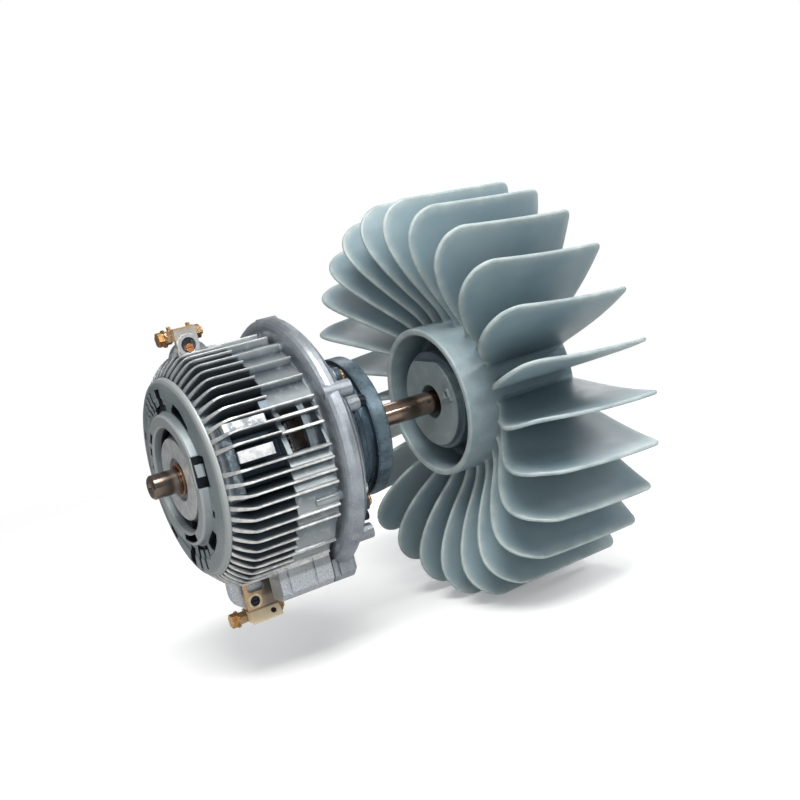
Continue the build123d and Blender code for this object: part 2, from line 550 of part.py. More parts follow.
# armature: slotted laminations, end turns, commutator
arm = tube(15.2, 36.0, 9.0, ARM_R)
for k in range(20):
    arm = arm - slot_polar(10, 40, 27.0, 36.0, 18 * k, 4.4, 5.6) - slot_polar(10, 40, 35.0, 40.0, 18 * k, 2.0)
save("armature_core", arm)
rear_end = rev([(36.02, 24.0), (36.02, 36.6), (37.4, 37.4), (41.6, 37.0), (43.6, 34.6), (44.2, 28.0), (43.0, 24.0)])
front_end = rev([(15.18, 24.0), (15.18, 36.4), (13.6, 37.2), (9.4, 36.6), (7.4, 34.0), (6.8, 29.0), (7.6, 24.0)])
coils = [slot_polar(8.8, 37.0, 28.0, 35.0, 18 * k, 3.9, 5.0) for k in range(20)]
wind = fuse([rear_end, front_end] + coils)
save("armature_windings", wind)
comm = tube(45.4, 60.8, 9.0, COMM_R) + tube(44.3, 47.0, 9.0, COMM_R + 3.0)
for k in range(20):
    comm = comm - slot_polar(44, 62, COMM_R - 1.0, COMM_R + 4, 18 * k + 9, 0.7)
save("commutator", comm)

# ------------------------------------------------------------------ impeller
SWEEP = 3.0            # degrees that the front edge lags the rear tip
BOW = 2.8              # degrees that the middle of the blade stands off a straight radial line


def lead(x, r):
    "angle of the blade surface at (x, r), degrees from its rear tip line"
    t = min(1.0, max(0.0, (245.0 - x) / 85.0))
    u = min(1.0, max(0.0, (r - 46.0) / 81.0))
    s = u * u * (3 - 2 * u)
    return -SWEEP * t * t * s + BOW * math.sin(math.pi * u) * (0.45 + 0.55 * t)


# outline of one blade in (x, r): front edge out from the hub, bulge, shoulder, tip line, rear edge
FRONT = [(186.0, 46.0), (183.8, 52.5), (177.2, 62.0), (168.4, 73.5), (159.8, 86.5), (153.8, 99.0),
         (152.4, 109.0), (156.2, 119.0), (163.8, 125.3), (173.0, TIP_R_FRONT)]


def front_x(r):
    pts_ = FRONT
    if r <= pts_[0][1]:
        return pts_[0][0]
    for (xa, ra), (xb, rb) in zip(pts_, pts_[1:]):
        if r <= rb:
            return xa + (xb - xa) * (r - ra) / (rb - ra)
    return pts_[-1][0]


def blade_surface(off):
    "grid of points on one side of the blade, offset by half its thickness"
    rows = []
    nx, nr = 7, 9
    for i in range(nr):
        r = 44.6 + (TIP_R_FRONT + 3.0 - 44.6) * i / (nr - 1)
        row = []
        for j in range(nx):
            x = 146.0 + (250.0 - 146.0) * j / (nx - 1)
            a = math.radians(BLADE_PHASE + lead(x, r))
            y, z = r * math.cos(a), r * math.sin(a)
            row.append(Vector(x, y - off * math.sin(a), z + off * math.cos(a)))
        rows.append(row)
    return rows


def blade():
    mid = Face.make_surface_from_array_of_points(blade_surface(0.0))
    a = thicken(mid, BLADE_T / 2, both=True)
    # trim to the outline with a prism square to the blade's middle plane
    am = math.radians(BLADE_PHASE - SWEEP / 2)
    pl = Plane(origin=(0, 0, 0), x_dir=(1, 0, 0), z_dir=(0, -math.sin(am), math.cos(am)))
    # local x along the shaft, local y outwards in the radial direction
    front = Spline(*FRONT, tangents=[(-0.05, 1), (1, -0.02)])
    rear_x = HUB_X1 - 0.4
    rc = 4.6
    k1 = (rear_x - rc, TIP_R_REAR)
    k2 = (rear_x - 0.29 * rc, TIP_R_REAR - 0.29 * rc)
    k3 = (rear_x, TIP_R_REAR - rc)
    l1 = Line(FRONT[-1], k1)
    l2 = Line(k1, k2)
    l3 = Line(k2, k3)
    l4 = Line(k3, (rear_x, 46.0))
    l5 = Line((rear_x, 46.0), FRONT[0])
    out = make_face(pl * (front + l1 + l2 + l3 + l4 + l5))
    cutter = extrude(out, 22, both=True)
    return a & cutter


hub = rev([(HUB_X0 + 1.6, HUB_RI), (HUB_X0 + 0.4, HUB_RI + 0.7), (HUB_X0, HUB_RI + 1.9), (HUB_X0, HUB_RO - 1.6),
           (HUB_X0 + 0.6, HUB_RO - 0.4), (HUB_X0 + 2.0, HUB_RO), (HUB_X1, HUB_RO), (HUB_X1, HUB_RI + 0.6),
           (198.0, HUB_RI), (190.0, HUB_RI)])
# the boss on the shaft and the web that joins it to the drum, one moulding with it
boss = rev([(198.0, HUB_RI), (196.0, 40.0), (195.6, 33.0), (BOSS_X1, 31.0), (BOSS_X1, 10.4), (175.6, 10.4),
            (BOSS_X0 + 1.2, 10.4), (BOSS_X0, 11.4), (BOSS_X0, BOSS_R - 0.9), (BOSS_X0 + 0.8, BOSS_R),
            (172.6, BOSS_R), (172.8, 31.2), (173.4, 31.6), (190.6, 32.4), (191.6, 39.6), (190.0, HUB_RI)])
# the boss's front step has a flat on its edge
boss = boss - turn(box(BOSS_X0 - 1, 172.7, -30, 30, FLAT_R, 40.0), FLAT_A - 90)
b0 = blade()
print("blade volume", round(b0.volume, 1), "solids", len(b0.solids()))
blades = [turn(b0, BLADE_PITCH * k) for k in range(N_BLADES)]
core = rod(HUB_X0 - 20, HUB_X1 + 5, HUB_RO)
blades = [b - core for b in blades]
# a small raised square socket on the boss's face
clip = box(BOSS_X0 - 1.8, BOSS_X0 + 2, -2.9, 2.9, 15.4, 25.2) - box(BOSS_X0 - 2, BOSS_X0 - 0.3, -1.7, 1.7, 20.4, 23.8)
clip = clip + box(BOSS_X0 - 1.2, BOSS_X0 + 2, 2.4, 5.2, 17.0, 25.0)
clip = turn(clip, 167 - 90)
boss = (boss + clip) - turn(box(175.8, 200.2, -2.52, 2.52, 7.0, 13.0), KEY_A - 90)
save("impeller_hub", hub)
save("impeller_boss", boss)
save("impeller_blades", blades)

bush = tube(175.6, BOSS_X1, SHAFT_R + 0.0, 10.4) - turn(box(170.0, 210.0, -2.5, 2.5, 0, 14), KEY_A - 90)
save("hub_bush", bush)
save("fan_key", turn(box(176.0, 200.0, -2.5, 2.5, SHAFT_R - 3.0, SHAFT_R + 2.6), KEY_A - 90))
save("fan_end_washer", tube(BOSS_X1, BOSS_X1 + 2.0, SHAFT_R, 14.0))
nut = hexagon(BOSS_X1 + 2.0, BOSS_X1 + 10.0, 22.0) - rod(BOSS_X1, BOSS_X1 + 14, SHAFT_R)
save("fan_lock_nut", nut)

total = Compound(children=[s for v in made.values() for s in v])
bb = total.bounding_box()
print("nodes", len(made), "box", bb.min, bb.max)
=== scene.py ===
import bpy
import bmesh
import math
import numpy as np
from mathutils import Vector, Matrix


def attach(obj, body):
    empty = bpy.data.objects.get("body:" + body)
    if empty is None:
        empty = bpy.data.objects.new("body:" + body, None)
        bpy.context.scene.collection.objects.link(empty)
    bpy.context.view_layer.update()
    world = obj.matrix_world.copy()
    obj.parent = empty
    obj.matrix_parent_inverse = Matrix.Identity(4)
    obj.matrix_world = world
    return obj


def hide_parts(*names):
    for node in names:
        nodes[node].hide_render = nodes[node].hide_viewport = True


# Air purifier fan assembly: finishes, the moulded impeller and the cast casing.
# Lengths below are millimetres along the shaft from the front shield's face (x), and
# millimetres from the shaft's axis (r); angles are degrees from +Y towards +Z.
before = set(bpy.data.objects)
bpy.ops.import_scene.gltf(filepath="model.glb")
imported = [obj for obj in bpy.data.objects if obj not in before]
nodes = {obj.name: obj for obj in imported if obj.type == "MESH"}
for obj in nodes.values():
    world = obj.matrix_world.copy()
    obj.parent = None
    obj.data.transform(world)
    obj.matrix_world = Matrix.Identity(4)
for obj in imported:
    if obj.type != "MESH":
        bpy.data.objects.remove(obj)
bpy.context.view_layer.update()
scene = bpy.context.scene
X_REF = 104.0


def pt(x, r, a):
    t = math.radians(a)
    return Vector(((x - X_REF) / 1000.0, r * math.cos(t) / 1000.0, r * math.sin(t) / 1000.0))


# ------------------------------------------------------------------ node helper
class Mat:
    def __init__(self, name):
        self.m = bpy.data.materials.new(name)
        self.m.use_nodes = True
        self.nt = self.m.node_tree
        self.nt.nodes.clear()
        self.out = self.nt.nodes.new("ShaderNodeOutputMaterial")
        self.b = self.nt.nodes.new("ShaderNodeBsdfPrincipled")
        self.link(self.b.outputs[0], self.out.inputs[0])
        self.tc = self.nt.nodes.new("ShaderNodeTexCoord")

    def link(self, a, b):
        self.nt.links.new(a, b)

    def put(self, sock, v):
        if hasattr(v, "is_output") or isinstance(v, bpy.types.NodeSocket):
            self.link(v, sock)
        else:
            sock.default_value = v

    def set(self, **kw):
        for k, v in kw.items():
            self.put(self.b.inputs[k.replace("_", " ")], v)
        return self

    def coords(self, sx=1.0, sy=1.0, sz=1.0):
        n = self.nt.nodes.new("ShaderNodeMapping")
        self.link(self.tc.outputs["Object"], n.inputs["Vector"])
        n.inputs["Scale"].default_value = (sx, sy, sz)
        return n.outputs[0]

    def polar(self, kx=1000.0, kr=1000.0, ka=60.0):
        "vector of (x, r, angle), scaled; the angle is turned to about millimetres at r 60"
        s = self.nt.nodes.new("ShaderNodeSeparateXYZ")
        self.link(self.tc.outputs["Object"], s.inputs[0])
        ang = self.math("ARCTAN2", s.outputs[2], s.outputs[1])
        r = self.radius()
        c = self.nt.nodes.new("ShaderNodeCombineXYZ")
        self.put(c.inputs[0], self.math("MULTIPLY", s.outputs[0], kx))
        self.put(c.inputs[1], self.math("MULTIPLY", r, kr / 1000.0))
        self.put(c.inputs[2], self.math("MULTIPLY", ang, ka))
        return c.outputs[0]

    def radius(self):
        "distance from the shaft axis in millimetres"
        s = self.nt.nodes.new("ShaderNodeSeparateXYZ")
        self.link(self.tc.outputs["Object"], s.inputs[0])
        y2 = self.math("MULTIPLY", s.outputs[1], s.outputs[1])
        z2 = self.math("MULTIPLY", s.outputs[2], s.outputs[2])
        q = self.math("SQRT", self.math("ADD", y2, z2))
        return self.math("MULTIPLY", q, 1000.0)

    def radius_xy(self):
        "distance from the vertical axis in millimetres"
        s = self.nt.nodes.new("ShaderNodeSeparateXYZ")
        self.link(self.tc.outputs["Object"], s.inputs[0])
        x2 = self.math("MULTIPLY", s.outputs[0], s.outputs[0])
        y2 = self.math("MULTIPLY", s.outputs[1], s.outputs[1])
        return self.math("MULTIPLY", self.math("SQRT", self.math("ADD", x2, y2)), 1000.0)

    def axis(self, i):
        s = self.nt.nodes.new("ShaderNodeSeparateXYZ")
        self.link(self.tc.outputs["Object"], s.inputs[0])
        return self.math("MULTIPLY", s.outputs[i], 1000.0)

    def noise(self, scale, detail=3.0, rough=0.55, vec=None, dist=0.0):
        n = self.nt.nodes.new("ShaderNodeTexNoise")
        self.link(vec if vec is not None else self.tc.outputs["Object"], n.inputs["Vector"])
        n.inputs["Scale"].default_value = scale
        n.inputs["Detail"].default_value = detail
        n.inputs["Roughness"].default_value = rough
        n.inputs["Distortion"].default_value = dist
        return n.outputs["Fac"]

    def voronoi(self, scale, feature="F1", vec=None):
        n = self.nt.nodes.new("ShaderNodeTexVoronoi")
        n.feature = feature
        self.link(vec if vec is not None else self.tc.outputs["Object"], n.inputs["Vector"])
        n.inputs["Scale"].default_value = scale
        return n.outputs["Distance"]

    def math(self, op, a, b=None, clamp=False):
        n = self.nt.nodes.new("ShaderNodeMath")
        n.operation = op
        n.use_clamp = clamp
        self.put(n.inputs[0], a)
        if b is not None:
            self.put(n.inputs[1], b)
        return n.outputs[0]

    def fit(self, v, a, b, c=0.0, d=1.0, smooth=True):
        n = self.nt.nodes.new("ShaderNodeMapRange")
        n.interpolation_type = "SMOOTHSTEP" if smooth else "LINEAR"
        self.put(n.inputs["Value"], v)
        n.inputs["From Min"].default_value = a
        n.inputs["From Max"].default_value = b
        n.inputs["To Min"].default_value = c
        n.inputs["To Max"].default_value = d
        return n.outputs["Result"]

    def mix(self, a, b, fac, mode="MIX"):
        n = self.nt.nodes.new("ShaderNodeMix")
        n.data_type = "RGBA"
        n.blend_type = mode
        self.put(n.inputs["Factor"], fac)
        for sock, v in ((n.inputs[6], a), (n.inputs[7], b)):
            self.put(sock, v if not isinstance(v, tuple) else (*v[:3], 1.0))
        return n.outputs[2]

    def attr(self, name):
        n = self.nt.nodes.new("ShaderNodeAttribute")
        n.attribute_type = "GEOMETRY"
        n.attribute_name = name
        return n.outputs["Fac"]

    def bump(self, height, strength=0.3, dist=0.0002, normal=None):
        n = self.nt.nodes.new("ShaderNodeBump")
        if isinstance(strength, float):
            n.inputs["Strength"].default_value = strength
        else:
            self.link(strength, n.inputs["Strength"])
        n.inputs["Distance"].default_value = dist
        self.put(n.inputs["Height"], height)
        if normal is not None:
            self.link(normal, n.inputs["Normal"])
        return n.outputs[0]

    def soften(self, radius, samples=4):
        "rounds the look of sharp edges by this radius in metres"
        n = self.nt.nodes.new("ShaderNodeBevel")
        n.samples = samples
        n.inputs["Radius"].default_value = radius
        return n.outputs[0]


def srgb(r, g, b):
    def f(c):
        c /= 255.0
        return c / 12.92 if c <= 0.04045 else ((c + 0.055) / 1.055) ** 2.4
    return (f(r), f(g), f(b))


def paint(name, m):
    o = nodes[name]
    o.data.materials.clear()
    o.data.materials.append(m)


# ------------------------------------------------------------------- materials
def fan_plastic():
    k = Mat("fan_plastic")
    rim = k.attr("rim")
    r = k.radius()
    big = k.noise(22.0, 3.0, 0.5)
    mid = k.noise(110.0, 3.0, 0.55)
    fine = k.noise(900.0, 2.0, 0.6)
    outer = k.mix(srgb(120, 141, 149), srgb(134, 153, 159), k.fit(big, 0.35, 0.68))
    # darker towards the blades' roots: painted shade
    body = k.mix(srgb(112, 134, 143), outer, k.fit(r, 46.0, 80.0))
    # the boss and the hub ring's inner wall much darker: painted shade of the hub
    body = k.mix(srgb(70, 85, 91), body, k.fit(r, 39.0, 46.0))
    body = k.mix(body, srgb(136, 151, 153), k.fit(mid, 0.48, 0.8, 0.0, 0.30))
    # the 'rim' band: along the blades' edges a painted glow of light through the thin plastic; it also colours the hub
    # ring's front lip, the boss's face and the clip
    edge = k.mix(srgb(148, 161, 163), srgb(168, 179, 179), k.fit(mid, 0.3, 0.7))
    col = k.mix(body, edge, k.math("POWER", rim, 1.7))
    k.set(Base_Color=col)
    k.set(Roughness=k.math("ADD", k.fit(mid, 0.2, 0.8, 0.30, 0.40), k.fit(fine, 0.3, 0.7, -0.02, 0.03)))
    k.set(Normal=k.bump(k.math("ADD", k.noise(42.0, 2.0, 0.5), k.math("MULTIPLY", fine, 0.05)), 0.10, 0.0006))
    k.b.inputs["IOR"].default_value = 1.49
    k.b.inputs["Specular IOR Level"].default_value = 0.5
    k.b.inputs["Subsurface Weight"].default_value = 0.18
    k.b.inputs["Subsurface Radius"].default_value = (1.0, 1.15, 1.2)
    k.b.inputs["Subsurface Scale"].default_value = 0.0022
    return k.m


def casing_cast():
    """finned casting: painted shade between the fins, pale tops partly polished and partly a painted highlight, grained
    foot and ears
    """
    k = Mat("casing_cast")
    r = k.radius()
    x = k.axis(0)
    z = k.axis(2)
    n1 = k.noise(60.0, 4.0, 0.6)
    n2 = k.noise(1000.0, 2.0, 0.7)
    n3 = k.noise(260.0, 3.0, 0.6)
    # the fins' envelope is a cone at the front, so heights are counted from it
    slope = k.math("MINIMUM", k.math("ADD", k.math("MULTIPLY", k.math("ADD", x, X_REF), 0.93), 56.3), 68.5)
    height = k.math("ADD", r, k.math("SUBTRACT", 68.5, slope))
    wob = k.math("ADD", height, k.fit(n1, 0.2, 0.8, -0.35, 0.35))
    # between the fins, darker the deeper down: painted shade
    gap_shade = k.mix(srgb(44, 55, 64), srgb(116, 128, 136), k.fit(wob, 57.5, 67.2))
    # painted shade in the gaps, deeper still towards the top and the bottom of the casing
    gap_shade = k.mix(gap_shade, srgb(30, 38, 46), k.fit(z, 22.0, 50.0, 0.0, 0.55))
    gap_shade = k.mix(gap_shade, srgb(26, 34, 42), k.fit(z, -26.0, -52.0, 0.0, 0.6))
    # in the rear bays, darker just under each rib: painted shade
    bay = k.mix(srgb(96, 107, 114), srgb(154, 160, 163), k.fit(wob, 63.4, 66.4))
    bay = k.mix(bay, srgb(176, 180, 180), k.fit(n3, 0.5, 0.75, 0.0, 0.5))
    rear = k.fit(x, 38.2 - X_REF, 38.8 - X_REF, smooth=False)
    base = k.mix(gap_shade, bay, rear)
    # pale fin tops: partly the polished metal, partly a painted highlight
    tops = k.mix(srgb(190, 193, 193), srgb(222, 222, 219), k.fit(n3, 0.35, 0.65))
    # the tops darker towards the top of the casing, where the lamps fall hardest: painted shade
    tops = k.mix(tops, srgb(160, 165, 168), k.fit(z, 25.0, 52.0, 0.0, 0.8))
    base = k.mix(base, tops, k.fit(wob, 66.5, 67.6))
    rough_cast = k.mix(srgb(138, 144, 148), srgb(164, 168, 170), k.fit(n1, 0.3, 0.7))
    rough_cast = k.mix(rough_cast, srgb(86, 92, 98), k.fit(n2, 0.5, 0.72, 0.0, 0.5))
    outside = k.math("MAXIMUM", k.fit(r, 69.1, 69.7, smooth=False), k.fit(z, -66.5, -68.0, smooth=False))
    low = k.fit(z, -66.5, -68.0, smooth=False)
    speck = k.mix(srgb(166, 172, 180), srgb(204, 208, 212), k.fit(n2, 0.35, 0.65))
    rough_cast = k.mix(rough_cast, speck, low)
    base = k.mix(base, rough_cast, outside)
    # the cone under the ribs beside the shield is dark, the two machined pads are bright
    near = k.fit(k.axis(1), -20.0, -22.0, smooth=False)
    cone = k.math("MULTIPLY", k.math("MULTIPLY", k.fit(x, 12.6 - X_REF, 12.0 - X_REF), k.fit(height, 67.4, 66.9)),
                  k.math("MULTIPLY", near, k.math("MULTIPLY", k.fit(z, -12.5, -11.5), k.fit(z, 29.5, 28.5))))
    base = k.mix(base, k.mix(srgb(58, 68, 76), srgb(112, 120, 126), k.fit(n3, 0.46, 0.66)), k.math("MULTIPLY", cone, 0.85))
    first = k.math("MULTIPLY", k.fit(z, 25.3, 25.7), k.fit(z, 30.9, 30.5))
    second = k.math("MULTIPLY", k.fit(z, 8.2, 8.6), k.fit(z, 15.5, 15.1))
    pad = k.math("MULTIPLY", k.math("MAXIMUM", first, second), k.math("MULTIPLY", near, k.fit(r, 66.5, 66.9)))
    pad = k.math("MULTIPLY", pad, k.math("MULTIPLY", k.fit(x, 8.0 - X_REF, 8.6 - X_REF), k.fit(x, 33.2 - X_REF, 32.8 - X_REF)))
    bright = k.mix(k.mix(srgb(214, 217, 219), srgb(246, 247, 247), k.fit(n3, 0.35, 0.6)), k.mix(srgb(120, 126, 131), srgb(196, 199, 201), k.fit(n3, 0.4, 0.62)), first)
    base = k.mix(base, bright, pad)
    base = k.mix(base, (0.02, 0.025, 0.03), k.fit(n2, 0.62, 0.8, 0.0, 0.3))
    k.set(Base_Color=base)
    k.b.inputs["Metallic"].default_value = 0.72
    k.set(Roughness=k.math("ADD", k.fit(n1, 0.25, 0.75, 0.30, 0.42), k.fit(n2, 0.3, 0.8, -0.03, 0.07)))
    k.set(Normal=k.bump(n2, k.mix((0.22, 0.22, 0.22), (0.7, 0.7, 0.7), outside), 0.00014, k.soften(0.0004)))
    return k.m


def shield_cast():
    """blasted front shield: matt face, pale rim, painted shade inside its vents and the raised ring's slots"""
    k = Mat("shield_cast")
    r = k.radius()
    x = k.axis(0)
    n1 = k.noise(34.0, 4.0, 0.6)
    n2 = k.noise(900.0, 2.0, 0.7)
    n3 = k.noise(190.0, 3.0, 0.6)
    face = k.mix(srgb(126, 136, 140), srgb(146, 154, 157), k.fit(n1, 0.3, 0.7))
    face = k.mix(face, srgb(160, 166, 167), k.fit(n3, 0.5, 0.78, 0.0, 0.4))
    face = k.mix(face, srgb(158, 163, 163), k.fit(r, 54.6, 56.4))
    face = k.mix(face, srgb(164, 169, 169), k.math("MULTIPLY", k.fit(r, 38.9, 38.0), k.fit(x, -2.2 - X_REF, -3.4 - X_REF)))
    # the plateau inside r 24 is pale: partly its own machined tone, partly a painted reflection
    face = k.mix(face, k.mix(srgb(176, 181, 182), srgb(206, 208, 206), k.fit(n3, 0.3, 0.7)), k.fit(r, 24.3, 23.7))
    # near-black inside the vents and in the raised ring's slots: painted shade
    inside = k.math("MULTIPLY", k.fit(x, 0.2 - X_REF, 0.5 - X_REF), k.math("MULTIPLY", k.fit(r, 54.4, 53.8), k.fit(r, 46.8, 47.4)))
    inside = k.math("MAXIMUM", inside, k.math("MULTIPLY", k.fit(x, 0.8 - X_REF, 1.1 - X_REF), k.fit(r, 56.6, 55.8)))
    raised = k.math("MULTIPLY", k.fit(x, -3.5 - X_REF, -3.0 - X_REF), k.math("MULTIPLY", k.fit(r, 31.2, 31.6), k.fit(r, 37.3, 36.8)))
    face = k.mix(face, srgb(28, 36, 42), k.math("MAXIMUM", inside, raised))
    face = k.mix(face, srgb(98, 106, 111), k.fit(n2, 0.58, 0.8, 0.0, 0.35))
    k.set(Base_Color=face)
    k.b.inputs["Metallic"].default_value = 0.4
    k.set(Roughness=k.math("ADD", k.fit(n1, 0.25, 0.75, 0.42, 0.52), k.fit(n2, 0.3, 0.7, -0.04, 0.05)))
    k.set(Normal=k.bump(n2, 0.2, 0.00014, k.soften(0.0006)))
    return k.m


def cast_plain(name, a, b, rough=0.45, metallic=0.6, grain=0.4, grain_scale=1100.0, soft=0.0005, pits=0.25, big=35.0):
    k = Mat(name)
    n1 = k.noise(big, 4.0, 0.6)
    n2 = k.noise(grain_scale, 3.0, 0.7)
    v = k.voronoi(grain_scale * 0.55)
    col = k.mix(a, b, k.fit(n1, 0.3, 0.7))
    col = k.mix(col, tuple(c * 0.35 for c in a), k.fit(n2, 0.58, 0.78, 0.0, pits))
    col = k.mix(col, tuple(min(1.0, c * 1.5) for c in b), k.fit(v, 0.0, 0.28, pits * 0.9, 0.0))
    k.set(Base_Color=col)
    k.b.inputs["Metallic"].default_value = metallic
    k.set(Roughness=k.math("ADD", k.fit(n1, 0.25, 0.75, rough - 0.05, rough + 0.07), k.fit(n2, 0.3, 0.7, -0.05, 0.06)))
    k.set(Normal=k.bump(n2, grain, 0.00016, k.soften(soft)))
    return k.m


def housing_cast():
    "blue-grey bearing housing, its spigot band paler, with dark and bright specks"
    k = Mat("housing_cast")
    x = k.axis(0)
    n1 = k.noise(85.0, 4.0, 0.6)
    n2 = k.noise(620.0, 3.0, 0.7)
    v = k.voronoi(420.0)
    dark = k.mix(srgb(46, 61, 72), srgb(68, 84, 95), k.fit(n1, 0.3, 0.7))
    pale = k.mix(srgb(58, 75, 86), srgb(94, 111, 120), k.fit(n1, 0.32, 0.62))
    band = k.fit(k.math("ADD", x, k.fit(n1, 0.2, 0.8, -0.8, 0.8)), 0.4, 2.4)
    col = k.mix(dark, pale, band)
    col = k.mix(col, srgb(38, 48, 55), k.fit(n2, 0.56, 0.74, 0.0, 0.6))
    col = k.mix(col, srgb(205, 214, 218), k.fit(v, 0.0, 0.16, 0.5, 0.0))
    k.set(Base_Color=col)
    k.b.inputs["Metallic"].default_value = 0.6
    k.set(Roughness=k.math("ADD", k.fit(n1, 0.25, 0.75, 0.24, 0.36), k.fit(n2, 0.3, 0.7, -0.04, 0.06)))
    k.set(Normal=k.bump(n2, 0.7, 0.0002, k.soften(0.0006)))
    return k.m


def turned(name, a, b, rough=0.24, metallic=1.0, pitch=1500.0, soft=0.0003, play=1.0):
    "turned metal: fine rings about the shaft, with a slow change of tone"
    k = Mat(name)
    ring = k.noise(1.0, 3.0, 0.7, k.polar(pitch, 900.0, 6.0))
    slow = k.noise(1.0, 2.0, 0.5, k.polar(160.0, 30.0, 0.0))
    col = k.mix(a, b, k.fit(slow, 0.3, 0.7, 0.5 - 0.5 * play, 0.5 + 0.5 * play))
    col = k.mix(col, tuple(c * 0.7 for c in a), k.fit(ring, 0.5, 0.85, 0.0, 0.25 * play))
    k.set(Base_Color=col)
    k.b.inputs["Metallic"].default_value = metallic
    k.set(Roughness=k.fit(ring, 0.25, 0.75, rough - 0.03, rough + 0.06))
    k.set(Normal=k.bump(ring, 0.12, 0.00004, k.soften(soft)))
    return k.m


def shaft_steel():
    "brownish ground steel, the free stub darker than the long end"
    k = Mat("shaft_steel")
    ring = k.noise(1.0, 3.0, 0.7, k.polar(1500.0, 900.0, 6.0))
    slow = k.noise(1.0, 2.0, 0.5, k.polar(160.0, 30.0, 0.0))
    stub = k.mix(srgb(124, 110, 101), srgb(146, 132, 123), k.fit(slow, 0.3, 0.7))
    long_end = k.mix(srgb(150, 128, 114), srgb(168, 146, 131), k.fit(slow, 0.3, 0.7))
    col = k.mix(stub, long_end, k.fit(k.axis(0), -60.0, -20.0))
    col = k.mix(col, srgb(70, 60, 54), k.fit(ring, 0.5, 0.85, 0.0, 0.2))
    k.set(Base_Color=col)
    k.b.inputs["Metallic"].default_value = 1.0
    k.set(Roughness=k.fit(ring, 0.25, 0.75, 0.16, 0.25))
    k.set(Normal=k.bump(ring, 0.1, 0.00004, k.soften(0.0003)))
    return k.m


def tab_screw():
    """copper screw, its face in front of the tab painted near-black as the shade in its socket"""
    k = Mat("tab_screw_copper")
    n = k.noise(420.0, 3.0, 0.6)
    y = k.axis(1)
    col = k.mix(srgb(206, 146, 92), srgb(186, 124, 74), k.fit(n, 0.3, 0.7))
    # near-black towards the front: painted shade of the socket
    col = k.mix(col, srgb(34, 32, 32), k.fit(y, -8.2, -8.8, 0.0, 0.92))
    k.set(Base_Color=col)
    k.b.inputs["Metallic"].default_value = 0.7
    k.set(Roughness=k.fit(n, 0.25, 0.75, 0.2, 0.32))
    k.set(Normal=k.bump(n, 0.05, 0.0001, k.soften(0.0002, 8)))
    return k.m


def bracket_plate():
    """plated sheet: paler and more silvery above, browner below with painted shade towards the impeller, its kicked-out
    tab painted cream as lit from above
    """
    k = Mat("bracket_gold_zinc")
    z = k.axis(2)
    x = k.axis(0)
    n1 = k.noise(120.0, 3.0, 0.55, dist=0.4)
    n2 = k.noise(700.0, 3.0, 0.6)
    upper = k.mix(srgb(196, 190, 180), srgb(222, 216, 204), k.fit(n1, 0.3, 0.7))
    upper = k.mix(upper, srgb(206, 166, 104), k.fit(z, 81.2, 82.6))
    # the web darker towards the impeller: painted shade
    lower = k.mix(srgb(190, 160, 124), srgb(112, 103, 94), k.fit(x, -82.0, -73.0))
    # the kicked-out tab's cream: painted light on its face lit from above
    lower = k.mix(lower, k.mix(srgb(226, 204, 166), srgb(240, 224, 194), k.fit(n1, 0.3, 0.7)), k.fit(z, -84.0, -85.4))
    col = k.mix(lower, upper, k.fit(z, -10.0, 10.0, smooth=False))
    col = k.mix(col, srgb(120, 92, 66), k.fit(n2, 0.66, 0.8, 0.0, 0.3))
    k.set(Base_Color=col)
    k.set(Metallic=k.fit(z, -84.0, -85.4, 0.6, 0.15))
    k.set(Roughness=k.fit(n1, 0.25, 0.75, 0.16, 0.28))
    k.set(Normal=k.bump(n1, 0.05, 0.0001, k.soften(0.00022, 8)))
    return k.m


def bracket_small(name, ua, ub, la, lb):
    "small fitting, one look at the upper bracket and another at the lower"
    k = Mat(name)
    z = k.axis(2)
    n = k.noise(420.0, 3.0, 0.6)
    col = k.mix(k.mix(la, lb, k.fit(n, 0.3, 0.7)), k.mix(ua, ub, k.fit(n, 0.3, 0.7)), k.fit(z, -10.0, 10.0, smooth=False))
    y = k.axis(1)
    # the eyelets darker behind the plate's face: painted shade in the holes
    col = k.mix(col, srgb(30, 31, 34), k.fit(y, -6.3, -5.9, 0.0, 0.85)) if "eyelet" in name else col
    k.set(Base_Color=col)
    k.b.inputs["Metallic"].default_value = 0.6
    k.set(Roughness=k.fit(n, 0.25, 0.75, 0.14, 0.24))
    k.set(Normal=k.bump(n, 0.05, 0.0001, k.soften(0.0002, 8)))
    return k.m


def snap_ring():
    "blackened ring with a bright copper edge"
    k = Mat("snap_ring_copper")
    r = k.radius()
    n = k.noise(1.0, 3.0, 0.6, k.polar(900.0, 900.0, 12.0))
    edge = k.fit(r, 8.35, 8.6)
    col = k.mix(srgb(26, 24, 24), k.mix(srgb(196, 128, 84), srgb(222, 160, 112), n), edge)
    k.set(Base_Color=col)
    k.b.inputs["Metallic"].default_value = 0.9
    k.set(Roughness=k.fit(n, 0.25, 0.75, 0.22, 0.34))
    k.set(Normal=k.bump(n, 0.15, 0.00005, k.soften(0.0002)))
    return k.m


